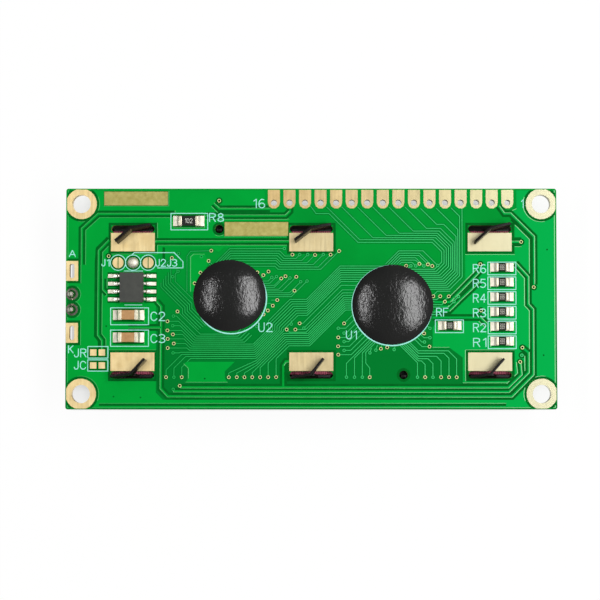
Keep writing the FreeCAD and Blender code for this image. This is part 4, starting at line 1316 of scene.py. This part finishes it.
@dataclass
class Silkscreen:
    """The printed outlines and designators of the component side."""

    pen: float = 0.13
    letter_pen: float = 0.15
    ring_pen: float = 0.2
    labels: tuple[Label, ...] = (
        Label("16", -9.52, -7.62, 14.86, 16.26), Label("1", 34.2, 34.6, 14.86, 16.16),
        Label("R8", -16.6, -14.35, 12.62, 13.93), Label("A", -39.45, -38.45, 6.88, 7.9),
        Label("K", -39.5, -38.75, -8.8, -7.65), Label("J1", -34.15, -32.95, 5.34, 6.42),
        Label("J2J3", -25.3, -21.9, 5.3, 6.42), Label("C2", -26.1, -23.85, -3.56, -2.17),
        Label("C3", -26.1, -23.8, -7.16, -5.8), Label("JR", -38.55, -36.65, -9.48, -8.18),
        Label("JC", -38.55, -36.7, -11.47, -10.17), Label("U2", -8.55, -6.38, -5.35, -3.93),
        Label("U1", 5.72, 7.35, -6.55, -5.24), Label("RF", 20.4, 22.25, -2.82, -1.55),
    )
    boxes: tuple[Quadruple, ...] = (
        (-22.9, -16.9, 11.25, 13.95), (20.2, 24.76, -5.52, -3.45), (-32.67, -26.5, -4.23, -1.48),
        (-32.67, -26.5, -7.75, -5.1), (-36.36, -33.08, -9.66, -7.77), (-36.36, -33.08, -11.77, -9.95),
    )
    column_count: int = 6
    column_first: float = 4.94
    column_pitch: float = 2.405
    column_box: Triple = (28.78, 33.34, 1.03)  # left, right and half its height
    column_label: Quadruple = (26.4, 28.42, -0.7, 0.64)
    jumper_columns: tuple[float, ...] = (-31.5, -29.05, -26.6)
    jumper_y: float = 5.89
    jumper_radius: float = 1.25
    jumper_sides: int = 28
    lines: tuple[tuple[Point, ...], ...] = (
        ((-28.87, 7.53), (-22.36, 7.53), (-20.92, 6.05), (-20.92, 5.04), (-25.07, 5.04)),
        ((-28.87, 7.53), (-29.3, 7.1)), ((-30.5, 4.52), (-27.5, 4.52)), ((-30.4, -1.0), (-27.6, -1.0)),
    )
    blob_rings: tuple[Triple, ...] = ((-13.04, 0.06, 5.75), (13.17, -1.1, 6.53))
    blob_ring_sides: int = 64

    def build(self) -> None:
        """Print the boxes, jumper rings, lines, letters and the rings round the blobs in one film."""
        boxes, labels = list(self.boxes), list(self.labels)
        left, right, half = self.column_box
        label_left, label_right, bottom, top = self.column_label
        for i in range(self.column_count):
            y = self.column_first - self.column_pitch * i
            boxes.append((left, right, y - half, y + half))
            labels.append(Label(f"R{self.column_count - i}", label_left, label_right, y + bottom, y + top))
        routes = [closed(rectangle(*box)) for box in boxes]
        routes += [
            closed(disc(x, self.jumper_y, self.jumper_radius, self.jumper_sides))
            for x in self.jumper_columns]
        marks = [mark for route in [*routes, *self.lines] for mark in stroke(route, self.pen)]
        marks += [mark for label in labels for mark in label.strokes(self.letter_pen)]
        for ring in self.blob_rings:
            marks += stroke(closed(disc(*ring, self.blob_ring_sides)), self.ring_pen)
        fit_out(Film("silkscreen", Layer.PRINT, marks).build(), SCREEN_INK)


@dataclass
class Digits:
    """The value codes on the resistors: one line on the large one, two on the small ones.

    A code's box is its left, right, bottom and top, counted from the resistor's middle.
    """

    pen: float = 0.06
    small: str = "222"
    small_boxes: tuple[Quadruple, ...] = ((-0.36, 0.36, 0.04, 0.4), (-0.36, 0.36, -0.4, -0.04))
    large: str = "102"
    large_boxes: tuple[Quadruple, ...] = ((-0.62, 0.62, -0.36, 0.36),)

    def build(self) -> None:
        """Write every code, one film a resistor."""
        for name in sorted(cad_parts):
            if not name.startswith("resistor") or not name.endswith("_body"):
                continue
            text, boxes, ink = self.small, self.small_boxes, CODE_INK
            if "_r8" in name:
                text, boxes, ink = self.large, self.large_boxes, SHARP_CODE_INK
            low, high = box_mm(name)
            x, y = (low.x + high.x) / 2, (low.y + high.y) / 2
            labels = [Label(text, x + a, x + b, y + c, y + d) for a, b, c, d in boxes]
            marks = [mark for label in labels for mark in label.strokes(self.pen)]
            piece = Film(name.replace("_body", "_code"), Layer.POOLED_MASK, marks).build()
            piece.location.z = (high.z - BOARD_TOP) * MM
            settle(piece)
            fit_out(piece, ink)


@dataclass(frozen=True)
class SoftenedCopy:
    """A CAD solid whose sharp edges are broken by a small round, as pressing or plating leaves them."""

    node: str
    slot: str
    finish: Finish
    radius: float = 0.05

    def rework(self, piece: Object) -> None:
        """Nothing: most pieces stay as pressed."""

    def build(self) -> None:
        """Copy the solid, merge its facets and round its edges."""
        piece = add_object(f"{self.node}_softened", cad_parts[self.node].data.copy())
        with edit_mode(piece):
            bpy.ops.mesh.remove_doubles(threshold=MERGE_DISTANCE)
            bpy.ops.mesh.dissolve_limited(angle_limit=math.radians(1))
            bpy.ops.mesh.normals_make_consistent(inside=False)
        break_edges(piece, self.radius)
        self.rework(piece)
        smooth_by_angle(piece)
        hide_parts(self.node)
        fit_out(piece, self.finish)


@dataclass(frozen=True)
class TwistedBezel(SoftenedCopy):
    """The bezel, whose tabs lean a little, each its own way, as pliers leave them.

    A lean is how far a tab's top stands out along X and Y, in millimetres; its key is the tab's column,
    from -1 to 1, and its side of the board. Below root the tabs stand straight.
    """

    tab_pitch: float = 29.1
    root: float = 10.5
    leans: dict[tuple[int, int], Point] = field(default_factory=lambda: {
        (-1, 1): (-0.24, 0.3), (0, 1): (-0.08, 0.28), (1, 1): (-0.04, 0.28),
        (-1, -1): (-0.2, 0.16), (0, -1): (-0.14, 0.08), (1, -1): (-0.12, 0.1),
    })

    def rework(self, piece: Object) -> None:
        """Lean the tabs over where they stand above the board.

        Args:
            piece: The bezel's copy.
        """
        tallest = box_mm(self.node)[1].z
        for vertex in piece.data.vertices:
            share = (vertex.co.z / MM - self.root) / (tallest - self.root)
            if share > 0:
                column = round(vertex.co.x / MM / self.tab_pitch)
                lean = Vector(self.leans[column, 1 if vertex.co.y > 0 else -1])
                vertex.co.xy += lean * share * MM


@dataclass
class SiliconeLips:
    """The upper zebra strip, squeezed up a little between the bezel's wall and each slot's inner edge."""

    columns: tuple[float, ...] = (-29.1, 0.0, 29.1)
    length: float = 6.6
    inner_y: float = 10.81
    width: float = 0.17
    top: float = 9.9
    rounding: float = 0.05

    def build(self) -> None:
        """Build one lip a slot."""
        bottom = box_mm("zebra_strip_upper")[1].z
        middle = Vector((0, self.inner_y + self.width / 2, (bottom + self.top) / 2))
        size = Vector((self.length, self.width, self.top - bottom))
        for i, x in enumerate(self.columns, 1):
            deselect_all()
            bpy.ops.mesh.primitive_cube_add(size=1.0, location=(middle + Vector((x, 0, 0))) * MM)
            lip = bpy.context.object
            lip.name = f"silicone_lip_{i}"
            lip.scale = size * MM
            settle(lip)
            break_edges(lip, self.rounding)
            fit_out(lip, ZEBRA)


@dataclass
class ProngFootShades:
    """Dark discs that close the lower end of the two locating prongs' holes: the prongs' wider feet, and
    painted shade in the holes.
    """

    places: tuple[Point, ...] = BoardShape.prongs
    radius: float = 0.66
    thickness: float = 0.2
    sides: int = 32

    def build(self) -> None:
        """Build one dark disc a hole."""
        middle = box_mm("circuit_board")[0].z + self.thickness / 2
        for i, spot in enumerate(self.places, 1):
            deselect_all()
            bpy.ops.mesh.primitive_cylinder_add(
                vertices=self.sides, radius=self.radius * MM, depth=self.thickness * MM,
                location=Vector((*spot, middle)) * MM)
            foot = bpy.context.object
            foot.name = f"prong_foot_shade_{i}"
            settle(foot)
            fit_out(foot, BLACKENED_STEEL)


@dataclass
class GlobTop:
    """A black epoxy blob over a die: a drop with a steep rim and a low, uneven crown.

    lobes are how many there are round the rim, their turn and their share of wander. A ripple is its
    height and its size in millimetres, and how steeply it fades towards the rim.
    """

    node: str
    seed: float
    rings: int = 46
    sides: int = 128
    bowl: float = 0.84
    rim_power: int = 14
    crown_share: float = 0.985
    wander: float = 0.0036
    lobes: tuple[tuple[int, float, float], ...] = ((2, 0.6, 1.0), (3, 2.0, 0.6))
    ripples: tuple[Triple, ...] = ((0.02, 2.2, 4.0), (0.01, 0.7, 6.0))

    def height(self, share: float) -> float:
        """The drop's height, as a share of the crown's, at a share of its radius."""
        return 1 - self.bowl * share ** 2 - (1 - self.bowl) * share ** self.rim_power

    def web(self) -> Object:
        """A flat disc of radius 1, divided into rings.

        Returns:
            Its object.
        """
        deselect_all()
        bpy.ops.mesh.primitive_circle_add(vertices=self.sides, radius=1.0, fill_type="TRIFAN")
        piece = bpy.context.object
        with edit_mode(piece):
            mesh = bmesh.from_edit_mesh(piece.data)
            spokes = [edge for edge in mesh.edges if any(v.co.length < 0.5 for v in edge.verts)]
            bmesh.ops.subdivide_edges(mesh, edges=spokes, cuts=self.rings, use_grid_fill=True)
            bmesh.update_edit_mesh(piece.data)
        return piece

    def build(self) -> None:
        """Shape the blob and let it stand for its solid."""
        low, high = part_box(self.node)
        centre, half = (low + high) / 2, (high - low) / 2
        crown = (high.z - low.z) * self.crown_share
        piece = self.web()
        piece.name = self.node.replace("epoxy_blob", "glob_top")
        for vertex in piece.data.vertices:
            share = min(vertex.co.length, 1.0)
            angle = math.atan2(vertex.co.y, vertex.co.x)
            swell = 1 + self.wander * share * sum(
                part * math.sin(count * angle + turn) for count, turn, part in self.lobes)
            x, y = vertex.co.x * half.x * swell, vertex.co.y * half.y * swell
            spot = Vector((x, y, self.seed)) / MM
            z = self.height(share) * crown
            for height, size, fade in self.ripples:
                z += MM * height * noise.noise(spot / size) * min(1, fade * (1 - share))
            vertex.co = (centre.x + x, centre.y + y, low.z + max(z, 0.0))
        with edit_mode(piece):
            bpy.ops.mesh.select_all(action="DESELECT")
            bpy.ops.mesh.select_non_manifold()
            bpy.ops.mesh.edge_face_add()
            bpy.ops.mesh.select_all(action="SELECT")
            bpy.ops.mesh.normals_make_consistent(inside=False)
        smooth_by_angle(piece)
        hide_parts(self.node)
        fit_out(piece, POTTING_EPOXY)


@dataclass(frozen=True)
class SoftBox:
    """A studio lamp beside the board and aimed at it, with its long side along Y."""

    name: str
    stand: Triple
    width: float
    length: float
    watts: float
    target: Triple = (0, 0, 0.01)

    def build(self) -> None:
        """Hang the lamp."""
        data = bpy.data.lights.new(self.name, "AREA")
        data.shape = "RECTANGLE"
        data.size, data.size_y = self.length, self.width
        data.energy = self.watts
        aim(add_object(self.name, data), Vector(self.stand), Vector(self.target))


@dataclass
class Studio:
    """The pale floor, the lamps, the sky and the camera.

    glow_mm gives, for each axis, where the paper's glow under the board's rim starts and is full, and
    the same past the board's edge. sky_x and sky_level are how the sky brightens towards the right.
    """

    floor_size: float = 6.0
    floor_drop: float = 0.0002
    paper: str = "#F4F4F2"
    # the paper's colour under the module: painted shadow
    shaded_paper: str = "#3C3C3A"
    shaded_below: float = 0.3
    glow_mm: tuple[Quadruple, ...] = ((36, 38.5, 40, 40.4), (13.5, 15.2, 18, 18.4))
    rim_glow: float = 0.33
    open_glow: float = 0.94
    sky_x: Point = (-0.5, 0.5)
    sky_level: Point = (0.26, 0.45)
    camera_foot: Point = (-1.84, -13.0)
    camera_height: float = 306.0
    camera_target: Point = (-1.84, -0.2)
    focal: float = 112.8
    sensor: float = 36.0
    lamps: tuple[SoftBox, ...] = (
        SoftBox("key_box", (0.3, 0.03, 0.6), 0.19, 0.6, 3.4),
        SoftBox("rim_strip", (-0.34, 0.03, 0.6), 0.035, 0.46, 1.15),
    )

    def glow(self, tree: NodeTree) -> Node:
        """How white the paper looks: nearly pure round the module, a painted pale grey seen through the
        holes at the board's rim, and dark under its middle as painted shadow, where the bezel keeps the
        light out.

        Args:
            tree: The floor's node tree.

        Returns:
            The node that gives the share of pure white.
        """
        spot = add_node(tree, "SeparateXYZ", {0: object_mm(tree)})
        shares = []
        for axis, reach in zip("XY", self.glow_mm):
            away = add_node(tree, "Math", {0: spot.outputs[axis]}, operation="ABSOLUTE")
            for start, full, most in zip(reach[::2], reach[1::2], (self.rim_glow, self.open_glow)):
                shares.append(add_node(tree, "MapRange", {
                    "Value": away, "From Min": start, "From Max": full, "To Max": most}))
        rim = add_node(tree, "Math", {0: shares[0], 1: shares[2]}, operation="ADD")
        outside = add_node(tree, "Math", {0: shares[1], 1: shares[3]}, operation="MAXIMUM")
        return add_node(tree, "Math", {0: rim, 1: outside}, operation="MAXIMUM")

    def floor(self) -> None:
        """Lay a floor that is white to the eye and still takes the module's shadow, with painted shadow
        under the module.
        """
        deselect_all()
        bpy.ops.mesh.primitive_plane_add(size=self.floor_size, location=(0, 0, -self.floor_drop))
        plane = bpy.context.object
        plane.name = "floor"
        settle(plane)
        material = bpy.data.materials.new("white_paper")
        tree = bare_tree(material)
        share = self.glow(tree)
        # painted shadow: where the glow is low, under the module, the paper's own colour turns dark grey
        lit = add_node(tree, "MapRange", {"Value": share, "From Max": self.shaded_below})
        colour = add_node(
            tree, "Mix", {0: lit, 6: srgb(self.shaded_paper), 7: srgb(self.paper)}, data_type="RGBA")
        paper = add_node(tree, "BsdfDiffuse", {"Color": colour})
        glow = add_node(tree, "Emission", {"Color": (1, 1, 1, 1), "Strength": 1.0})
        rays = add_node(tree, "LightPath").outputs
        seen = add_node(
            tree, "Math", {0: rays["Is Camera Ray"], 1: rays["Is Glossy Ray"]}, operation="ADD")
        seen = add_node(
            tree, "Math", {0: seen, 1: rays["Is Transmission Ray"]}, operation="ADD", use_clamp=True)
        share = add_node(tree, "Math", {0: seen, 1: share}, operation="MULTIPLY")
        both = add_node(tree, "MixShader", {0: share, 1: paper, 2: glow})
        add_node(tree, "OutputMaterial", {"Surface": both})
        plane.data.materials.append(material)

    def sky(self) -> None:
        """A plain pale surround, a little brighter to the right, white where the camera looks past."""
        world = bpy.data.worlds.new("studio")
        bpy.context.scene.world = world
        tree = bare_tree(world)
        direction = add_node(tree, "TexCoord").outputs["Object"]
        across = add_node(tree, "SeparateXYZ", {0: direction}).outputs["X"]
        (left, right), (dim, bright) = self.sky_x, self.sky_level
        level = add_node(tree, "MapRange", {
            "Value": across, "From Min": left, "From Max": right, "To Min": dim, "To Max": bright})
        light = add_node(tree, "Background", {"Color": (1, 1, 1, 1), "Strength": level})
        white = add_node(tree, "Background", {"Color": (1, 1, 1, 1), "Strength": 1.0})
        camera_ray = add_node(tree, "LightPath").outputs["Is Camera Ray"]
        both = add_node(tree, "MixShader", {0: camera_ray, 1: light, 2: white})
        add_node(tree, "OutputWorld", {"Surface": both})

    def camera(self) -> None:
        """Stand the camera over the board, as the photograph was taken."""
        data = bpy.data.cameras.new("camera")
        data.lens, data.sensor_width = self.focal, self.sensor
        eye = add_object("camera", data)
        aim(eye, Vector((*self.camera_foot, BOARD_TOP + self.camera_height)) * MM,
            Vector((*self.camera_target, BOARD_TOP)) * MM)
        bpy.context.scene.camera = eye

    def build(self) -> None:
        """Set the whole studio up."""
        self.floor()
        self.sky()
        for lamp in self.lamps:
            lamp.build()
        self.camera()
        bpy.context.scene.view_settings.view_transform = "Standard"


def main() -> None:
    """Build every piece in order."""
    logging.basicConfig(level=logging.INFO, format="%(name)s: %(message)s")
    CarriedOver().dress()
    plan = Plan()
    CopperPattern(plan, BoardShape()).build()
    Vias(plan).build()
    Silkscreen().build()
    Digits().build()
    for node, seed in (("epoxy_blob_u1", 3.1), ("epoxy_blob_u2", 8.4)):
        GlobTop(node, seed).build()
    TwistedBezel("bezel", "bezel_black", BLACKENED_STEEL, 0.06).build()
    SoftenedCopy("converter_chip_leads", "tinned_pin", TINNED_LEAD).build()
    for name in sorted(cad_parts):
        if name.endswith("_end_caps"):
            SoftenedCopy(name, "end_cap_tin", TINNED_CAP).build()
    SiliconeLips().build()
    ProngFootShades().build()
    Studio().build()


if __name__ == "__main__":
    main()
